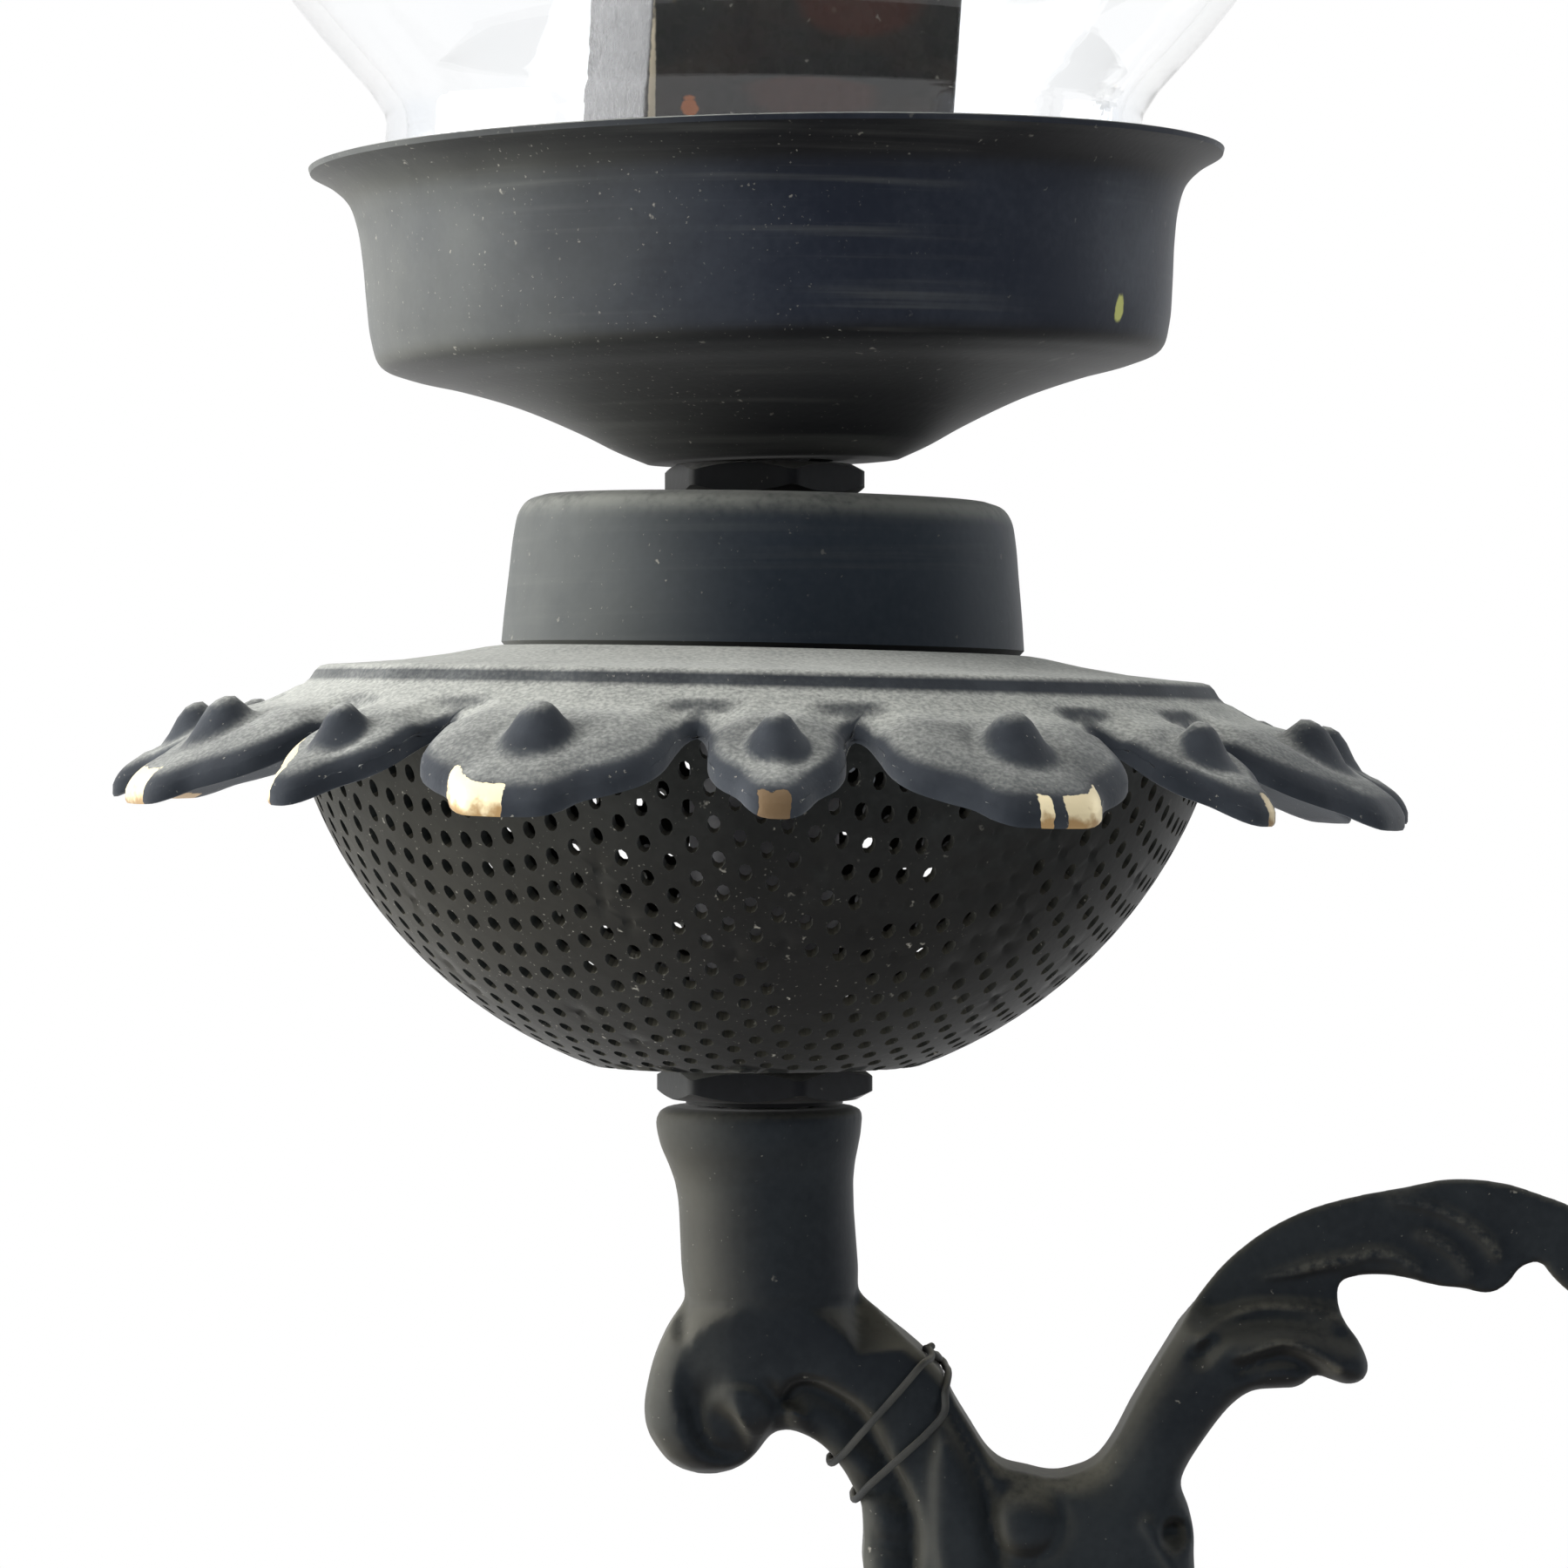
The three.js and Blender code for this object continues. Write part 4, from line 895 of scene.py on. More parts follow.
# Each chip: the angle from the front where it begins and ends, its depth and how stained it is.
CHIPS = [(-27.2, -21.0, 1.3, 0), (22.6, 23.8, 1.2, 0), (24.8, 28.8, 1.1, 0.2), (-0.4, 2.2, 0.7, 1)]
CHIPS += [(-49.0, -44.6, 1.6, 0), (-71.5, -64.0, 1.8, 0), (46.4, 47.6, 1.2, 0.6), (92.0, 96.5, 1.6, 0)]
CHIPS += [(137.0, 139.5, 1.2, 0), (-114.0, -108.5, 1.7, 0), (156.0, 161.0, 1.4, 0.3)]
CHIPS += [(-158.5, -155.0, 1.8, 0)]
CHIPS += [(-137.5, -134.0, 1.0, 1)]


def chip_share(x, y):
    turn = (np.degrees(np.arctan2(y, x)) + 90 + 180) % 360 - 180
    gap, radius = to_edge(x, y), np.hypot(x, y)
    share, stained = np.zeros(len(x)), np.zeros(len(x))
    for low, high, depth, stain in CHIPS:
        inside = (high - low) / 2 - np.abs(turn - (low + high) / 2)
        across = 0.5 + inside * radius * math.pi / 180 / 1.4
        here = np.minimum(across, 0.5 + (depth - gap) / 1.4)
        stained = np.where(here > share, stain, stained)
        share = np.maximum(share, here)
    return np.clip(share * (radius > 60), 0, 1), stained


plate = plate_mesh()
on_arms("leaf_plate", plate, plate_finish, PLATE_LEAN, PLATE_ROOT, turn=(0, 90, 225))

# %% [markdown]
# ## The pierced bowl
#
# The bowl was pressed from perforated sheet. Its holes stand in a flat honeycomb, and pressing
# stretched them, so from the side the rows seem to swirl. Drilling the finished bowl would give the
# wrong pattern, so the sheet is pierced flat and then bent: every point keeps its direction, and its
# distance from the middle becomes an angle on the ball. Paint has closed some of the holes.

# %% Bending the sheet
BOWL_RADIUS, FOOT_RADIUS, SHEET_WALL = 50.45, 17.4, 1.0
BOWL_DROP = 1.15
STRETCH_FROM = math.radians(42)
bowl_low, bowl_high = levels("bowl_1")
bowl_high -= BOWL_DROP
bowl_centre = bowl_low + math.sqrt(BOWL_RADIUS**2 - FOOT_RADIUS**2)
foot_angle = math.asin(FOOT_RADIUS / BOWL_RADIUS)
rim_angle = math.acos((bowl_centre - bowl_high) / BOWL_RADIUS)
ball_angles = np.linspace(0, rim_angle * 1.05, 400)
unstretched, beyond = np.minimum(ball_angles, STRETCH_FROM), np.maximum(ball_angles - STRETCH_FROM, 0)
flat_sizes = BOWL_RADIUS * (np.sin(unstretched) + math.cos(STRETCH_FROM) * beyond)
foot_flat = float(np.interp(foot_angle, ball_angles, flat_sizes))
rim_flat = float(np.interp(rim_angle, ball_angles, flat_sizes))


def bent(spots, inside):
    """Flat sheet points as points of the bowl, `inside` millimetres in from its outer face."""
    spots = np.asarray(spots, float)
    flat = np.hypot(spots[:, 0], spots[:, 1])
    angle = np.interp(flat, flat_sizes, ball_angles)
    ball = BOWL_RADIUS - inside
    reach_out, level = ball * np.sin(angle), bowl_centre - ball * np.cos(angle)
    on_foot = flat < foot_flat
    reach_out = np.where(on_foot, flat * FOOT_RADIUS / foot_flat, reach_out)
    level = np.where(on_foot, bowl_low + inside, level)
    level = np.maximum(level, bowl_low + inside)
    turn = spots / np.maximum(flat, 1e-9)[:, None]
    return np.column_stack([turn * reach_out[:, None], level])


# %% Honeycomb of holes
HOLE_PITCH, HOLE_RADIUS, HOLE_SIDES = 2.94, 0.74, 10
LATTICE_TURN = math.radians(19.25)
LATTICE_SHIFT = (2.646, 2.45)
BARE_SPOT, BARE_SIZE = (33 * math.sin(0.17), -33 * math.cos(0.17)), 4.2
SHUT_SPOT, SHUT_SIZE = (47 * math.sin(0.62), -47 * math.cos(0.62)), 11
lot = random.Random(7)


def holes():
    """Centres of the holes, and whether paint has closed each one."""
    kept = []
    count = int(rim_flat / HOLE_PITCH) + 2
    for row in range(-count, count + 1):
        for step in range(-count * 2, count * 2 + 1):
            x, y = (step + row / 2) * HOLE_PITCH, row * HOLE_PITCH * math.sqrt(3) / 2
            place = complex(x, y) * complex(math.cos(LATTICE_TURN), math.sin(LATTICE_TURN))
            x, y = place.real + LATTICE_SHIFT[0], place.imag + LATTICE_SHIFT[1]
            if not 12 < math.hypot(x, y) < rim_flat - 1.3:
                continue
            if math.dist((x, y), BARE_SPOT) < BARE_SIZE:
                continue
            near = math.exp(-((math.dist((x, y), SHUT_SPOT) / SHUT_SIZE) ** 2))
            kept.append((x, y, lot.random() < 0.03 + 0.8 * near))
    return kept


pierced = holes()
print("holes:", len(pierced), "of them closed:", sum(shut for *_, shut in pierced))


# %% Sheet and bowl
def circle(radius, sides, x=0.0, y=0.0, turn=0.0):
    angles = [turn + step * 2 * math.pi / sides for step in range(sides)]
    return [(x + radius * math.cos(angle), y + radius * math.sin(angle)) for angle in angles]


def bowl_mesh():
    spots, loops = [], []
    rings = [(LOOSE, 24), (10.5, 32), (foot_flat * 0.97, 64), (foot_flat, 64), (rim_flat - 0.6, 160)]
    rings += [(rim_flat, 160)]
    ring_loops = []
    for radius, sides in rings:
        ring_loops.append(list(range(len(spots), len(spots) + sides)))
        spots += circle(radius, sides)
    for x, y, shut in pierced:
        loops.append(list(range(len(spots), len(spots) + HOLE_SIDES)))
        spots += circle(HOLE_RADIUS, HOLE_SIDES, x, y, 0.3)
        if shut:
            spots.append((x, y))
    outlines = loops + [ring_loops[0], ring_loops[-1]]
    edges = [(loop[i - 1], loop[i]) for loop in outlines for i in range(len(loop))]
    flat = [Vector(spot) for spot in spots]
    points, _, triangles, *_ = delaunay_2d_cdt(flat, edges, [], 0, 1e-5)
    points = np.array([tuple(point) for point in points])
    assert len(points) == len(spots)
    kind = {}
    for hole, (loop, (x, y, shut)) in enumerate(zip(loops, pierced)):
        for index in loop:
            kind[index] = (hole, shut)
    middle = points[np.array(triangles)].mean(axis=1)
    keep = []
    radii = np.hypot(middle[:, 0], middle[:, 1])
    for triangle, radius in zip(triangles, radii):
        owners = {kind.get(index, (None, False))[0] for index in triangle}
        if radius < LOOSE or radius > rim_flat:
            continue
        if len(owners) == 1 and None not in owners and not kind[triangle[0]][1]:
            continue
        keep.append(list(triangle))
    outer = bent(points, 0)
    dent = np.zeros(len(points))
    for loop, (x, y, shut) in zip(loops, pierced):
        if shut:
            dent[loop[-1] + 1] = 0.4
    sunk = bent(points, 0.4)
    outer = np.where(dent[:, None] > 0, sunk, outer)
    inner = bent(points, SHEET_WALL)
    count = len(points)
    faces = keep + [[index + count for index in reversed(face)] for face in keep]
    open_loops = [loop for loop, (*_, shut) in zip(loops, pierced) if not shut]
    for loop in open_loops + [ring_loops[0], ring_loops[-1]]:
        for i in range(len(loop)):
            a, b = loop[i - 1], loop[i]
            faces.append([a, b, b + count, a + count])
    return mesh_of("bowl", (np.vstack([outer, inner]), faces), 30)


bowl = bowl_mesh()
on_arms("bowl", bowl, bowl_paint, shift=BOWL_SHIFT)

# %% [markdown]
# ## The cast arm
#
# The arm is one iron casting: a turned socket, a scroll that rolls up round an eye, a stem towards
# the hub and a leaf that curls off the stem. Its flat side shows a carved relief, so it is made as a
# carver would: cut the outline out of a board, round its edges by their distance to the outline, and
# press grooves and pads into the face. The socket and flange are turned, and a voxel remesh melts
# all of them into one skin with soft inner corners, as iron fills a mould.

# %% Outline of the arm
SCROLL_EDGE = [(-8.4, -17.0), (-8.4, -20.3), (-9.7, -22.5), (-11.0, -25.0), (-11.8, -27.1), (-12.3, -29.1)]
SCROLL_EDGE += [(-12.6, -30.8), (-12.6, -32.5), (-12.2, -34.2), (-11.2, -35.9), (-10.0, -37.3)]
SCROLL_EDGE += [(-8.3, -38.2)]
SCROLL_EDGE += [(-6.2, -38.6), (-4.2, -38.4), (-2.6, -37.8), (-1.4, -36.9), (-0.5, -35.9), (0.7, -34.3)]
SCROLL_EDGE += [(1.7, -33.9), (2.7, -33.8), (4.0, -34.2), (5.2, -34.8), (6.5, -35.8), (7.6, -37.1)]
SCROLL_EDGE += [(8.6, -38.5)]
SCROLL_EDGE += [(9.4, -40.0), (10.1, -41.3), (10.4, -43.3), (10.5, -45.6), (10.4, -48.4)]
STEM_EDGE = [(11.4, -52), (14, -58), (22, -70), (34, -81), (50, -90), (78, -97.4), (108, -97.6), (138, -89)]
STEM_EDGE += [(160, -80.5), (174.5, -79), (174.5, -64), (160, -67.5), (138, -77.6), (108, -86.3)]
STEM_EDGE += [(78, -85.8)]
STEM_EDGE += [(60, -78), (50, -68), (46.4, -58), (45.4, -50), (45.2, -47.1), (45.2, -44.8), (44.6, -41.9)]
LEAF_UNDER = [(43.8, -39.6), (44.2, -38.2), (45.3, -36.3), (47.1, -33.8), (49.2, -31.3), (51.3, -29.9)]
LEAF_UNDER += [(54.1, -29.6)]
LEAF_UNDER += [(56.3, -29.4), (58.0, -28.2), (59.4, -28.6), (61.5, -29.2), (63.2, -28.6), (63.6, -27.1)]
LEAF_UNDER += [(62.6, -24.6)]
LEAF_UNDER += [(61.1, -22.5), (60.6, -20.3), (60.8, -18.7), (62.6, -18.0), (66.8, -18.0), (71.0, -19.0)]
LEAF_UNDER += [(73.8, -19.3)]
LEAF_UNDER += [(76.7, -19.8), (78.8, -18.6), (79.8, -17.2), (82.0, -16.5), (83.3, -18.0), (85.0, -19.6)]
LEAF_UNDER += [(88, -21.5)]
LEAF_CURL = [(91, -23.9), (96.4, -29.5), (97.8, -35.5), (96.3, -40), (93.6, -42), (91.2, -41), (90.6, -38.6)]
LEAF_CURL += [(92.1, -37.2), (91.7, -34.6), (89.0, -34.2), (86.8, -39.0), (88.8, -44.5), (93.2, -47.2)]
LEAF_CURL += [(98.3, -46), (101.9, -41.5), (103.5, -34), (102.3, -27), (97.6, -19.5), (91, -13.8)]
LEAF_TOP = [(85.0, -10.5), (82.3, -9.5), (78.1, -8.2), (72.5, -7.8), (67.5, -8.7), (62.6, -9.6)]
LEAF_TOP += [(57.6, -11.0)]
LEAF_TOP += [(52.8, -13.4), (48.5, -16.9), (44.9, -21.5), (42.2, -25.7), (39.3, -30.6), (36.8, -35.3)]
LEAF_TOP += [(35.1, -37.4)]
LEAF_TOP += [(33.0, -38.4), (30.5, -38.9), (27.5, -38.3), (25.4, -37.8), (23.8, -36.6), (21.7, -33.4)]
LEAF_TOP += [(20.0, -30.6)]
LEAF_TOP += [(18.9, -28.2), (17.1, -26.1), (14.6, -23.9), (11.9, -21.4), (9.9, -19.4), (9.3, -17.0)]
arm_edge = smooth_line(SCROLL_EDGE + STEM_EDGE + LEAF_UNDER + LEAF_CURL + LEAF_TOP, 6, closed=True)

# %% Carved lines of the relief
# How far the eye's hollow reaches from the eye at each angle, in degrees from the right.
SPIRAL_ANGLES = [80, 110, 135, 160, 180, 225, 270, 310]
SPIRAL_REACH = [9.8, 9.8, 8.6, 6.5, 5.6, 5.3, 4.7, 4.0]
SHADOW = [(1.3, -30.5), (2.2, -28.7), (3.6, -27.9), (5.4, -28.0), (7.4, -28.9), (9.9, -30.5)]
SHADOW += [(11.9, -32.8), (13.8, -36.7)]
SHADOW += [(15.1, -38.8), (16.3, -42.0), (16.8, -45.3), (16.6, -48.6), (17.5, -56), (24, -67), (36, -77)]
HOLLOW = SHADOW + [(33, -83), (20, -70), (8, -56), (8, -40), (4, -31.5)]
SPINDLE = [(18.4, -31.0), (20.5, -34.2), (22.4, -39.8), (23.6, -44.8), (24.2, -50), (26, -58)]
SPINDLE += [(31, -67), (36, -72)]
SPINDLE += [(30, -68), (23, -60), (18.4, -52.6), (16.9, -47.1), (16.7, -41.5), (17.0, -36.0)]
CREASE = [(18.9, -31.2), (21.1, -35.0), (23.0, -39.7), (24.2, -44.8), (24.9, -50), (26.7, -58)]
CREASE += [(31.5, -66.5)]
ARC = [(40.0, -43.3), (41.3, -45.1), (42.0, -46.7), (43.0, -48.4)]
RIDGES = [
    [(45.8, -24.0), (49.3, -21.9), (52.1, -21.1), (54.9, -21.2), (57.7, -21.6), (60.1, -22.5)],
    [(50.3, -26.0), (54.2, -24.4), (56.3, -25.1), (58.0, -26.1), (60.1, -27.5)],
    [(52.8, -18.4), (55.6, -17.7), (58.4, -16.7), (61.2, -16.2), (64.0, -15.4),
     (66.4, -15.6), (69.2, -17.0)],
    [(66.8, -10.2), (70.3, -10.9), (73.8, -12.3), (76.2, -14.1), (77.5, -15.6)],
    [(69.6, -13.5), (71.7, -14.3), (73.4, -15.7), (74.8, -17.5)],
]
VALLEYS = [
    [(45.8, -26.1), (48.2, -23.7), (51.4, -23.0), (54.9, -22.8), (58.4, -23.3), (61.5, -24.4)],
    [(50.0, -27.2), (52.1, -26.5), (54.9, -26.1), (57.0, -26.8), (58.4, -27.7)],
    [(47.2, -21.2), (50.7, -19.5), (54.2, -19.1), (57.7, -19.1), (60.1, -19.5)],
    [(52.1, -17.0), (54.9, -15.3), (58.4, -14.2), (62.2, -13.7), (65.7, -13.7),
     (68.2, -14.8), (71.7, -17.4)],
    [(63.3, -12.1), (66.8, -11.4), (69.9, -12.1), (72.4, -13.2), (74.5, -14.9), (75.9, -17.0)],
    [(74.1, -10.0), (77.6, -11.8), (79.4, -13.9), (79.7, -15.8)],
    [(84.0, -14.6), (90.0, -18.2), (96.4, -24.6), (100.4, -32.6), (99.6, -38.6),
     (96.1, -43.6), (91.7, -43.4)],
]
LEDGE = [(9.9, -19.4), (14.6, -23.9), (18.9, -28.2), (21.7, -33.4), (25.4, -37.8), (30.5, -38.9)]
LEDGE += [(35.1, -37.4)]
EYE, EYE_SIZE = (-2.8, -32.4), 3.8
BUMP, BUMP_SIZE = (27.3, -43.3), 3.3
PIT, PIT_SIZE = (42.9, -44.6), 1.5


# %% Distance tools
def finder_of(line):
    tree = kdtree.KDTree(len(line))
    for index, (x, z) in enumerate(line):
        tree.insert((x, z, 0), index)
    tree.balance()
    return tree


def distance(spots, line, closed=False):
    """How far each (x, z) spot is from a line."""
    tree = finder_of(even_line(smooth_line(line, 8, closed) if len(line) < 200 else line, 0.12, closed))
    return np.array([tree.find((x, z, 0))[2] for x, z in spots])


def within(spots, ring):
    """Which spots lie inside a closed ring of points."""
    x, z = spots[:, 0], spots[:, 1]
    inside = np.zeros(len(spots), bool)
    for (x1, z1), (x2, z2) in zip(ring, np.roll(ring, -1, axis=0)):
        crosses = (z1 > z) != (z2 > z)
        if z1 != z2:
            inside ^= crosses & (x < (x2 - x1) * (z - z1) / (z2 - z1) + x1)
    return inside


# Half depth of the casting and the radius of its rounded edge, at places along it.
STATIONS = [(0, -20, 8.2, 2.6), (-10, -30, 7.4, 4.6), (-6, -37, 7.0, 4.2), (7, -23, 7.7, 1.4)]
STATIONS += [(15, -29, 7.1, 1.3)]
STATIONS += [(20, -36, 6.8, 1.3), (26, -41, 6.6, 2.2), (8, -38, 6.4, 2.4), (36, -45, 6.5, 2.8)]
STATIONS += [(20, -60, 6.2, 3)]
STATIONS += [(50, -84, 6.0, 3.5), (95, -92, 6.0, 4), (145, -82, 6.0, 4), (172, -72, 6.6, 4)]
STATIONS += [(38, -38, 5.9, 2.8)]
STATIONS += [(45, -26, 5.2, 2.7), (56, -20, 5.0, 2.6), (75, -14, 4.6, 2.4), (97, -25, 4.1, 2.3)]
STATIONS += [(90, -42, 3.7, 2.0)]


def board_depth(spots):
    """Half depth of the carved board at each spot, and how far it is from the outline."""
    stations = np.array(STATIONS, float)
    reach_of = np.linalg.norm(spots[:, None] - stations[None, :, :2], axis=2)
    weight = 1 / (reach_of + 1.0) ** 3
    weight /= weight.sum(axis=1)[:, None]
    half, round_off = weight @ stations[:, 2], weight @ stations[:, 3]
    gap = distance(spots, arm_edge, closed=True)
    fall = np.clip(1 - gap / round_off, 0, 1)
    depth = half - round_off * (1 - np.sqrt(np.clip(1 - fall**2, 0, 1))) + 0.5 * smooth(gap, 0, 6)
    in_socket = np.sqrt(np.clip(9.0**2 - (spots[:, 0] - 0.7) ** 2, 1, None)) - 0.2
    return np.minimum(depth, in_socket + 9 * smooth(-spots[:, 1], 20.0, 27.5)), gap


def relief(spots):
    """What the carver adds to the board or takes from it."""
    x, z = spots[:, 0], spots[:, 1]
    away_x, away_z = x - EYE[0], z - EYE[1]
    eye, turn = np.hypot(away_x, away_z), np.degrees(np.arctan2(away_z, away_x)) % 360
    reach_out = np.interp(turn, SPIRAL_ANGLES, SPIRAL_REACH)
    sinking = 2.2 * smooth(turn, 90, 175) * (1 - smooth(turn, 275, 325))
    carved = -sinking * (1 - smooth(eye - reach_out, -1.5, 0.5)) * (0.55 + 0.45 * smooth(-eye, -7.5, -3.8))
    throat = smooth(np.abs(turn - 180), 115, 150)
    carved -= 1.1 * throat * np.exp(-(((eye - 4.6) / 0.7) ** 2))
    carved += 1.0 * np.sqrt(np.clip(1 - (eye / EYE_SIZE) ** 2, 0, 1))
    carved += 0.3 * np.exp(-(((eye - 3.2) / 0.4) ** 2))
    hollow = np.where(within(spots, HOLLOW), distance(spots, SHADOW), 0)
    flute = np.abs(np.sin((z + 40.1 + 0.15 * (x - 12)) * math.pi / 5.4)) * smooth(-z, 33, 36)
    scoop = 1.0 + 1.6 * np.exp(-(((hollow - 1.0) / 1.7) ** 2))
    carved -= smooth(hollow, 0, 0.8) * scoop - 0.9 * flute * smooth(hollow, 0.5, 1.8)
    leaf = np.where(within(spots, SPINDLE), distance(spots, SPINDLE, closed=True), 0)
    carved += 1.1 * smooth(leaf, 0, 1.8)
    carved -= 1.3 * np.exp(-((distance(spots, CREASE) / 0.6) ** 2))
    bump = np.hypot(x - BUMP[0], z - BUMP[1])
    carved += 1.2 * np.sqrt(np.clip(1 - (bump / BUMP_SIZE) ** 2, 0, 1))
    carved -= 0.5 * np.exp(-(((bump - 4.0) / 0.8) ** 2))
    pit = np.hypot(x - PIT[0], z - PIT[1])
    carved -= 2.4 * (1 - smooth(pit, PIT_SIZE * 0.5, PIT_SIZE * 1.3))
    carved += 0.7 * np.exp(-((distance(spots, ARC) / 0.6) ** 2))
    return carved + folds(spots)


def folds(spots):
    """The leaf's soft folds: ridges stand proud and valleys sink between them."""
    raised = [np.exp(-((distance(spots, line) / 0.85) ** 2)) for line in RIDGES]
    sunk = [np.exp(-((distance(spots, line) / 0.95) ** 2)) for line in VALLEYS]
    return 0.8 * np.max(raised, axis=0) - 1.3 * np.max(sunk, axis=0)


# %% Board and turned ends
BOARD_GRID = 0.62


def arm_board():
    """The carved board as a closed shell: a front, a back and the edge between them."""
    rim = even_line(arm_edge, 0.6, closed=True)
    low, high = rim.min(axis=0), rim.max(axis=0)
    xs, zs = np.arange(low[0], high[0], BOARD_GRID), np.arange(low[1], high[1], BOARD_GRID * 0.866)
    grid = np.array([(x + (row % 2) * BOARD_GRID / 2, z) for row, z in enumerate(zs) for x in xs])
    grid = grid[within(grid, rim)]
    grid = grid[distance(grid, arm_edge, closed=True) > 0.3]
    spots = np.vstack([rim, grid])
    edges = [(i, (i + 1) % len(rim)) for i in range(len(rim))]
    points, _, triangles, *_ = delaunay_2d_cdt([Vector(spot) for spot in spots], edges, [], 1, 1e-6)
    points = np.array([tuple(point) for point in points])
    depth, gap = board_depth(points)
    depth = np.maximum(depth + relief(points) * smooth(gap, 0.1, 1.0), 0.8)
    front = np.column_stack([points[:, 0], -depth, points[:, 1]])
    back = np.column_stack([points[:, 0], depth, points[:, 1]])
    count = len(points)
    faces = [list(face) for face in triangles]
    faces += [[index + count for index in reversed(face)] for face in triangles]
    faces += [[a, b, b + count, a + count] for a, b in edges]
    return np.vstack([front, back]), faces


SOCKET = [(BORE, 0), (9.6, 0), (10.45, -0.25), (10.85, -0.9), (10.9, -1.6), (10.75, -2.9)]
SOCKET += [(10.4, -4.4), (9.9, -5.9)]
SOCKET += [(9.45, -7.8), (9.3, -9.5), (9.25, -11), (9.3, -14), (9.35, -17), (9.2, -19.2), (8.6, -21.5)]
SOCKET += [(7.0, -23.5), (0, -24)]
SOCKET += [(0, -14.3), (BORE, -14.3)]
LEAN_LEVELS, LEAN_SHIFTS = [-24, -19.2, -14, -8.9, -4.5, -1.6, 0], [0.7, 0.7, 0.4, 0.1, -0.5, -0.6, -0.3]


def leaning(part):
    """The cast socket isn't straight: its collar sits to the left and its foot to the right."""
    points, faces = part
    level = np.array(points)[:, 2]
    outer = smooth(np.hypot(*np.array(points)[:, :2].T), 6, 8)
    shift = np.interp(level, LEAN_LEVELS, LEAN_SHIFTS) * outer
    return [(x + aside, y, z) for (x, y, z), aside in zip(points, shift)], faces


flange_disc = rounded([(0, 171.7, 0), (11, 171.7, 0.8), (11, 175.7, 0.8), (0, 175.7, 0)])
to_hub = Matrix.Translation((0, 0, -71.4)) @ Matrix.Rotation(math.pi / 2, 4, "Y")


# %% Melting the parts into one casting
def remeshed(name, parts, voxel, passes):
    """Closed parts as one skin, made by a voxel remesh and a little smoothing."""
    rough = bpy.data.objects.new(name, mesh_of(name, joined(*parts)))
    bpy.context.scene.collection.objects.link(rough)
    skin = rough.modifiers.new("skin", "REMESH")
    skin.mode, skin.voxel_size = "VOXEL", voxel * MM
    soften = rough.modifiers.new("soften", "SMOOTH")
    soften.factor, soften.iterations = 0.5, passes
    seen_by = bpy.context.evaluated_depsgraph_get()
    mesh = bpy.data.meshes.new_from_object(rough.evaluated_get(seen_by))
    bpy.data.objects.remove(rough)
    mesh.name = name
    mesh.shade_smooth()
    return mesh


VOXEL, SMOOTHINGS = 0.5, 2
SOCKET_SIDES, FLANGE_SIDES = 96, 64
flange = moved(turned(flange_disc, FLANGE_SIDES), to_hub)
cast = [arm_board(), leaning(turned(SOCKET, SOCKET_SIDES)), flange]
arm_mesh = remeshed("arm", cast, VOXEL, SMOOTHINGS)
points = np.empty(len(arm_mesh.vertices) * 3, np.float32)
arm_mesh.vertices.foreach_get("co", points)
flat = points.reshape(-1, 3)[:, [0, 2]] / MM
noted(arm_mesh, "fold", folds(flat))
noted(arm_mesh, "cast", np.ones(len(flat)))
noted(arm_mesh, "ledge", np.exp(-((distance(flat, LEDGE) / 2.5) ** 2)))
on_arms("arm", arm_mesh, cast_paint)

# %% [markdown]
# ## Tie wire
#
# Somebody once wound a thin wire twice round the first arm and twisted its ends. Drawn wire has one
# thickness, so it is a tube along a path: down the front, round the inner edge, up the back and over
# the top edge. The path takes its depth from the board's own depth, so the wire lies on the casting
# and spans its hollow.

# %% Tie wire
WIRE = 0.4
DOWN_ONE = [(16.4, -26.7), (14.4, -29.0), (12.0, -31.7), (9.9, -34.1), (8.4, -35.9)]
DOWN_TWO = [(18.9, -29.6), (18.8, -31.6), (17.0, -33.8), (14.8, -35.8), (12.5, -37.9), (11.0, -39.3)]
BACK_ONE = [(9.0, -37.0), (12.4, -34.4), (15.6, -31.3), (17.7, -29.0)]
BACK_TWO = [(11.6, -39.4), (14.4, -35.9), (16.6, -32.0), (17.5, -28.6)]


def laid(spots, side):
    """Path points that lie on the casting's front (-1) or back (1)."""
    depth = board_depth(np.array(spots))[0] + WIRE
    return [(x, side * y, z) for (x, z), y in zip(spots, depth)]


wire_path = [(17.0, -1.6, -25.5), (17.4, -2.6, -25.7), (17.5, -4.4, -26.2)]
wire_path += laid(DOWN_ONE, -1) + [(7.2, -4.6, -37.2), (6.9, 0.0, -37.3), (7.4, 4.8, -37.4)]
wire_path += laid(BACK_ONE, 1) + [(18.7, 5.2, -27.5), (19.2, 0.5, -27.7), (19.3, -4.6, -28.0)]
wire_path += laid(DOWN_TWO, -1) + [(9.7, -4.6, -41.0), (9.4, 0.0, -41.2), (9.8, 4.8, -41.0)]
wire_path += laid(BACK_TWO, 1) + [(18.1, 5.0, -26.9), (18.5, 0.8, -26.8), (18.2, -1.6, -26.4)]
wire_path += [(17.7, -2.4, -26.0), (17.3, -1.9, -25.5), (17.7, -1.2, -25.3)]
tie = mesh_of("tie_wire", tube(smooth_line(wire_path, 10), WIRE, 10), 60)
hang("tie_wire_look", tie, wire_finish, "lamp", ["tie_wire"], seat(0))

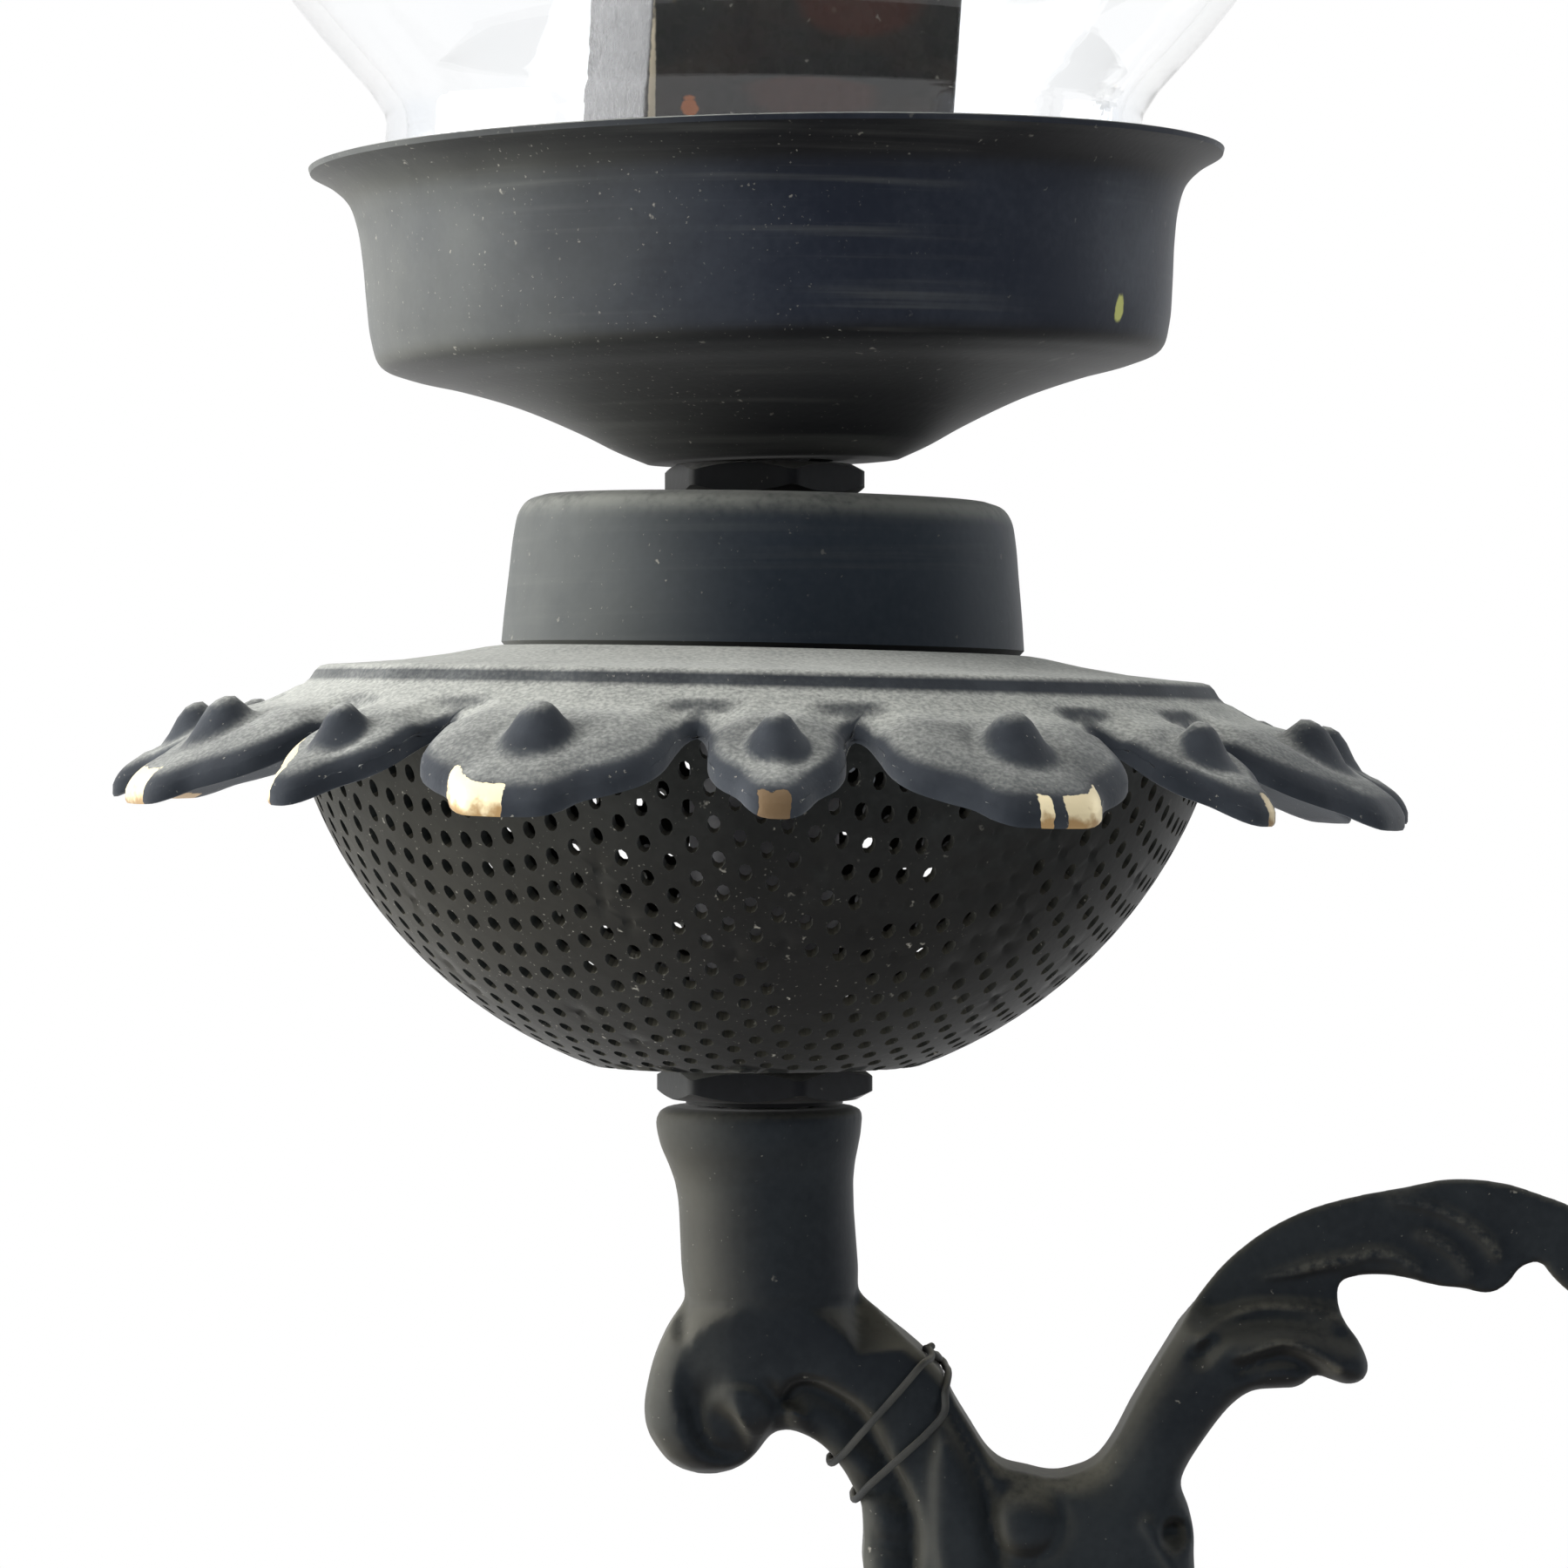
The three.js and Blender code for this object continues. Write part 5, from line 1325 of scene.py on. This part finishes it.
# %% [markdown]
# ## Glass, sleeve, lampholder and bulb
#
# The shade is blown glass: an upright neck that stands in the gallery, a tight flare and a round
# belly. It needs both its faces, because a single sheet wouldn't bend the light. Inside it a square
# lacquered sleeve hides the lampholder, and it stands loose, turned and leaning as it fell.

# %% Glass shade
GLASS_WALL, NECK_RADIUS, NECK_HEIGHT, BELLY, MOUTH = 2.2, 40, 25.4, 61.9, 30
glass_low, glass_high = levels("globe_1")
belly_level = glass_low + 27 + math.sqrt(BELLY**2 - NECK_RADIUS**2)
mouth_angle = math.pi - math.asin(MOUTH / BELLY)
glass_face = [(NECK_RADIUS, glass_low + up) for up in (0.0, 8, 16, 22, NECK_HEIGHT)]
for step in range(1, 25):
    angle = math.radians(44) + (mouth_angle - math.radians(44)) * step / 24
    glass_face.append((BELLY * math.sin(angle), belly_level - BELLY * math.cos(angle)))
lip_drop = GLASS_WALL * 0.42
glass_line = [(r, z - (lip_drop if z > glass_high - 1 else 0)) for r, z in smooth_line(glass_face, 3)]
shade = mesh_of("glass_shade", turned(sheet(glass_line, GLASS_WALL), 160), 60)
on_arms("globe", shade, clear_glass, body="globe")

# %% Square sleeve
SLEEVE_SIDE, SLEEVE_HEIGHT, SLEEVE_WALL = 32.7, 62, 1.5
half = SLEEVE_SIDE / 2
square = rounded([(-half, -half, 1.1), (half, -half, 1.1), (half, half, 1.1), (-half, half, 1.1)])
inset = 1 - SLEEVE_WALL / half
rings = []
sleeve_levels = [(inset, 0), (0.995, 0), (1, 0.3), (1, 8)]
sleeve_levels += [(1, SLEEVE_HEIGHT - 8), (1, SLEEVE_HEIGHT - 0.3)]
for size, level in sleeve_levels:
    rings.append([(x * size, y * size, level) for x, y in square])
rings.append([(x * 0.995, y * 0.995, SLEEVE_HEIGHT) for x, y in square])
inner_levels = (SLEEVE_HEIGHT, SLEEVE_HEIGHT - 8, 8)
rings += [[(x * inset, y * inset, level) for x, y in square] for level in inner_levels]
stand = Matrix.Rotation(math.radians(4), 4, "Y") @ Matrix.Rotation(math.radians(13.8), 4, "Z")
points, faces = moved(woven(np.array(rings)), stand)
lift = levels("sleeve_1")[0] - min(point[2] for point in points)
shift = Matrix.Translation((-SLEEVE_HEIGHT / 2 * math.sin(math.radians(4)), 0, lift))
sleeve = mesh_of("sleeve", moved((points, faces), shift), 30)
on_arms("sleeve", sleeve, sleeve_lacquer)

# %% Lampholder
holder_low, holder_high = levels("lampholder_1")
holder_line = [(BORE, holder_low, 0), (10.7, holder_low, 0), (11.5, holder_low + 0.8, 0.4)]
holder_line += [(11.5, holder_low + 9, 0.3)]
for rib in range(3):
    base = holder_low + 10 + rib * 3
    holder_line += [(10.7, base, 0.3), (10.7, base + 1, 0.3), (11.5, base + 1.6, 0.3)]
    holder_line += [(11.5, base + 2.4, 0.3)]
holder_line += [(11.5, holder_high, 0.9), (7.7, holder_high, 0.6), (7.7, holder_high - 24, 0)]
holder_line += [(9.9, holder_high - 24, 0)]
holder_line += [(9.9, holder_low + 9, 0), (BORE, holder_low + 9, 0)]
on_arms("lampholder", mesh_of("lampholder", turned(rounded(holder_line), 72)), holder_glaze)

# %% Bulb: glass and screw cap
bulb_low = levels("bulb_1")[0]
glass_start = holder_high + 0.3
pear = [(8.4, 0), (9.4, 4), (11.6, 17), (15.2, 28), (17.35, 37), (17.2, 45), (15.6, 51.5), (12.8, 59)]
pear += [(9.1, 66), (5.2, 71.4)]
pear += [(2.2, 73.6), (0, 74)]
pear_line = [(0, glass_start)] + [(max(r, 0), glass_start + z) for r, z in smooth_line(pear, 4)]
pear_line[-1] = (0, glass_start + 74)
on_arms("bulb", mesh_of("bulb_glass", turned(pear_line, 72)), frosted_glass, body="bulb")
screw = [(0, bulb_low), (3.2, bulb_low), (3.6, bulb_low + 1.2), (6.2, bulb_low + 3)]
for turn in range(5):
    base = bulb_low + 4 + turn * 3
    screw += [(6.2, base), (6.85, base + 0.8), (7.0, base + 1.4), (6.85, base + 2.0)]
screw += [(6.6, glass_start - 4.4), (6.6, glass_start - 0.2), (0, glass_start - 0.2)]
screw_cap = mesh_of("bulb_cap", turned(screw, 48))
for arm in range(ARMS):
    bulb = f"bulb_{arm + 1}"
    hang(f"bulb_{arm + 1}_cap", screw_cap, bulb_cap_metal, bulb, [bulb], seat(arm))

# %% [markdown]
# ## Chain, column and ceiling plate
#
# The photograph stops below these pieces, so they follow what such lamps have: bent and welded
# links, a turned column in two lengths, a six-sided hub, a bottom cover and a drop finial, and a
# pressed canopy that hides the ceiling bar. They wear the same old paint as the arms.

# %% Chain links
LINK_WIRE, LINK_END, LINK_COUNT = 2.0, 7, 5


def link_mesh(straight):
    """An oval link whose weld shows as a slight swelling on one side."""
    path = []
    for side in (1, -1):
        for step in range(17):
            angle = math.pi * step / 16 + (0 if side > 0 else math.pi)
            path.append((LINK_END * math.cos(angle), 0, LINK_END * math.sin(angle) + side * straight / 2))
        path += [(-side * LINK_END, 0, side * straight * share) for share in (0.33, 0.16, 0, -0.16, -0.33)]
    size = [LINK_WIRE - 0.12 + 0.12 * math.exp(-((z / 1.6) ** 2)) * (x > 0) for x, _, z in path]
    return mesh_of("chain_link", tube(path, size, 16, closed=True), 60)


low, high = levels("chain_link_1", 0)
link = link_mesh(high - low - 2 * (LINK_END + LINK_WIRE))
for number in range(1, LINK_COUNT + 1):
    low, high = levels(f"chain_link_{number}", 0)
    middle_of = Matrix.Translation((0, 0, (low + high) / 2 * MM))
    across = Matrix.Rotation(math.pi / 2 * (number % 2), 4, "Z")
    node = f"chain_link_{number}"
    hang(f"{node}_look", link, cast_paint, f"link_{number}", [node], middle_of @ across)
print("links:", LINK_COUNT)


# %% Loops
def ring_path(radius, centre, steps=40):
    angles = [step * 2 * math.pi / steps for step in range(steps)]
    return [(radius * math.cos(angle), 0, centre + radius * math.sin(angle)) for angle in angles]


def centre_piece(node, part, finish, body="lamp", sharp=35):
    hang(f"{node}_look", mesh_of(node, part, sharp), finish, body, [node])


LOOP_RADIUS, LOOP_WIRE = 10, 2.45
low, high = levels("ceiling_loop", 0)
eye_level = low + LOOP_RADIUS + 2.5
shoulder = levels("canopy", 0)[0] - 0.3
shank = [(0, shoulder - 5.4, 0), (6.2, shoulder - 5.4, 1.6), (8.5, shoulder - 3.4, 1.0)]
shank += [(8.5, shoulder, 0.8)]
shank += [(5.6, shoulder, 0), (4.6, shoulder + 1.2, 0), (4.6, high, 0.8), (0, high, 0)]
loop = tube(ring_path(LOOP_RADIUS, eye_level), LOOP_WIRE, 18, closed=True)
centre_piece("ceiling_loop", joined(loop, turned(rounded(shank), 64)), cast_paint, body="ceiling")
low, high = levels("column_loop", 0)
eye_level = high - LOOP_RADIUS - 2.5
base = low
foot_line = [(BORE, base, 0), (10.9, base, 1.0), (10.4, base + 5, 3), (7.6, base + 8.5, 1.5)]
foot_line += [(8.5, base + 11, 1.2)]
foot_line += [(8.2, base + 13.6, 1.5), (5.0, base + 15.4, 1.0), (0, base + 15.4, 0)]
foot_line += [(0, base + 10.3, 0), (BORE, base + 10.3, 0)]
loop = tube(ring_path(LOOP_RADIUS, eye_level), LOOP_WIRE, 18, closed=True)
centre_piece("column_loop", joined(loop, turned(rounded(foot_line), 72)), cast_paint)

# %% Canopy
low, high = levels("canopy", 0)
bell = [(11.0, low), (14, low + 0.05), (19.4, low + 1.5), (24.5, low + 5.6), (30.6, low + 11.2)]
bell += [(38, low + 15.2), (46.8, low + 18.2)]
bell += [(51.4, low + 21.4), (53.4, low + 25.6), (53.9, high - 1.2), (53.95, high)]
bell_line = np.vstack([[(BORE, low)], smooth_line(bell, 5)])
rim = [(r, min(z, high)) for r, z in sheet(bell_line, 1.2)]
centre_piece("canopy", turned(rim), cap_paint, body="ceiling")

# %% Column
COLUMN = 17


def column_part(node, shares):
    low, high = levels(node, 0)
    line = [(COLUMN * out, high - (high - low) * down, soft) for out, down, soft in shares]
    part = turned(rounded([(BORE, high, 0), *line, (BORE, low, 0)], 7), 96)
    centre_piece(node, part, turned_paint)


UPPER = [(0.56, 0, 0.8), (0.62, 0.012, 0.8), (0.62, 0.045, 1), (0.5, 0.055, 0.5), (0.5, 0.075, 0.5)]
UPPER += [(0.56, 0.085, 0.6)]
UPPER += [(0.52, 0.105, 0.8), (0.43, 0.13, 2), (0.45, 0.36, 6), (0.56, 0.375, 0.6), (0.56, 0.39, 0.6)]
UPPER += [(0.74, 0.40, 3)]
UPPER += [(0.74, 0.455, 3), (0.56, 0.465, 0.6), (0.56, 0.48, 0.6), (0.46, 0.50, 2), (0.5, 0.58, 6)]
UPPER += [(0.8, 0.68, 9)]
UPPER += [(1.0, 0.80, 8), (0.92, 0.9, 5), (0.64, 0.945, 1), (0.7, 0.955, 0.6), (0.7, 0.975, 0.6)]
UPPER += [(0.6, 0.985, 0.5), (0.6, 1, 0.5)]
LOWER = [(0.62, 0, 0.6), (0.75, 0.01, 1.2), (0.75, 0.07, 1.2), (0.58, 0.085, 0.6), (0.5, 0.14, 2)]
LOWER += [(0.56, 0.3, 8)]
LOWER += [(0.7, 0.315, 0.6), (0.7, 0.335, 0.6), (0.8, 0.35, 3), (1.16, 0.55, 12), (1.2, 0.7, 8)]
LOWER += [(0.86, 0.84, 3), (0.86, 0.87, 0.6)]
LOWER += [(1.0, 0.885, 0.6), (1.0, 0.91, 0.8), (1.2, 0.93, 1), (1.2, 0.985, 1), (1.1, 1, 0.6)]
column_part("column_upper", UPPER)
column_part("column_lower", LOWER)

# %% Hub, cover and finial
HUB_FLAT, HUB_WALL = 24, 3
low, high = levels("hub", 0)
outer, shy, hollow = hexagon(HUB_FLAT), hexagon(HUB_FLAT - 1.0), hexagon(HUB_FLAT - HUB_WALL)


def face_at(edge_of, level):
    return lambda angle: (edge_of(angle), level)


hub_line = [(BORE, high), face_at(shy, high), face_at(outer, high - 0.9), face_at(outer, high - 3.2)]
hub_line += [face_at(hexagon(HUB_FLAT - 0.6), high - 3.7), face_at(hexagon(HUB_FLAT - 0.6), high - 4.4)]
hub_line += [face_at(outer, high - 4.9)]
hub_line += [face_at(outer, low + 4.9), face_at(hexagon(HUB_FLAT - 0.6), low + 4.4)]
hub_line += [face_at(hexagon(HUB_FLAT - 0.6), low + 3.7)]
hub_line += [face_at(outer, low + 3.2), face_at(outer, low + 0.9), face_at(shy, low)]
hub_line += [face_at(hollow, low), face_at(hollow, high - HUB_WALL), (BORE, high - HUB_WALL)]
centre_piece("hub", turned(hub_line, 180), cast_paint)
low, high = levels("hub_cover", 0)
dish = [(26.4, high), (26.95, high - 0.8), (26.95, high - 2.6), (26.2, high - 3.2), (25.9, high - 4.4)]
dish += [(25.2, high - 8.4)]
dish += [(22.6, high - 12.0), (19.0, high - 14.6), (14.6, high - 16.8), (11.4, high - 18.4)]
dish += [(8.6, high - 19.7), (7.4, low + 0.05)]
dish_line = np.vstack([smooth_line(dish, 4), [(BORE, low)]])
cover_rim = [(r, min(max(z, low), high)) for r, z in sheet(dish_line, -1.6)]
centre_piece("hub_cover", turned(cover_rim), turned_paint)
FINIAL = 11
low, high = levels("finial", 0)
drop = [(0.72, 0, 0.4), (0.78, 0.02, 0.6), (0.78, 0.09, 0.8), (0.6, 0.12, 0.6), (0.6, 0.15, 0.6)]
drop += [(0.84, 0.24, 3), (1.0, 0.4, 4)]
drop += [(0.84, 0.58, 5), (0.4, 0.7, 2), (0.34, 0.74, 0.8), (0.44, 0.78, 1), (0.48, 0.86, 2)]
drop += [(0.36, 0.95, 2), (0.0, 1, 1.0)]
drop_line = [(FINIAL * out, high - (high - low) * down, soft) for out, down, soft in drop]
depth_of_rod = high - 10.3
finial = rounded([*drop_line, (0, depth_of_rod, 0), (BORE, depth_of_rod, 0), (BORE, high, 0)], 7)
centre_piece("finial", turned(finial, 72), turned_paint)

# %% CAD pieces that stay
for node in ["ceiling_bar", "centre_rod", "arm_screw_1", "arm_screw_2", "arm_screw_3"]:
    for spot in bpy.data.objects[node].material_slots:
        spot.material = steel
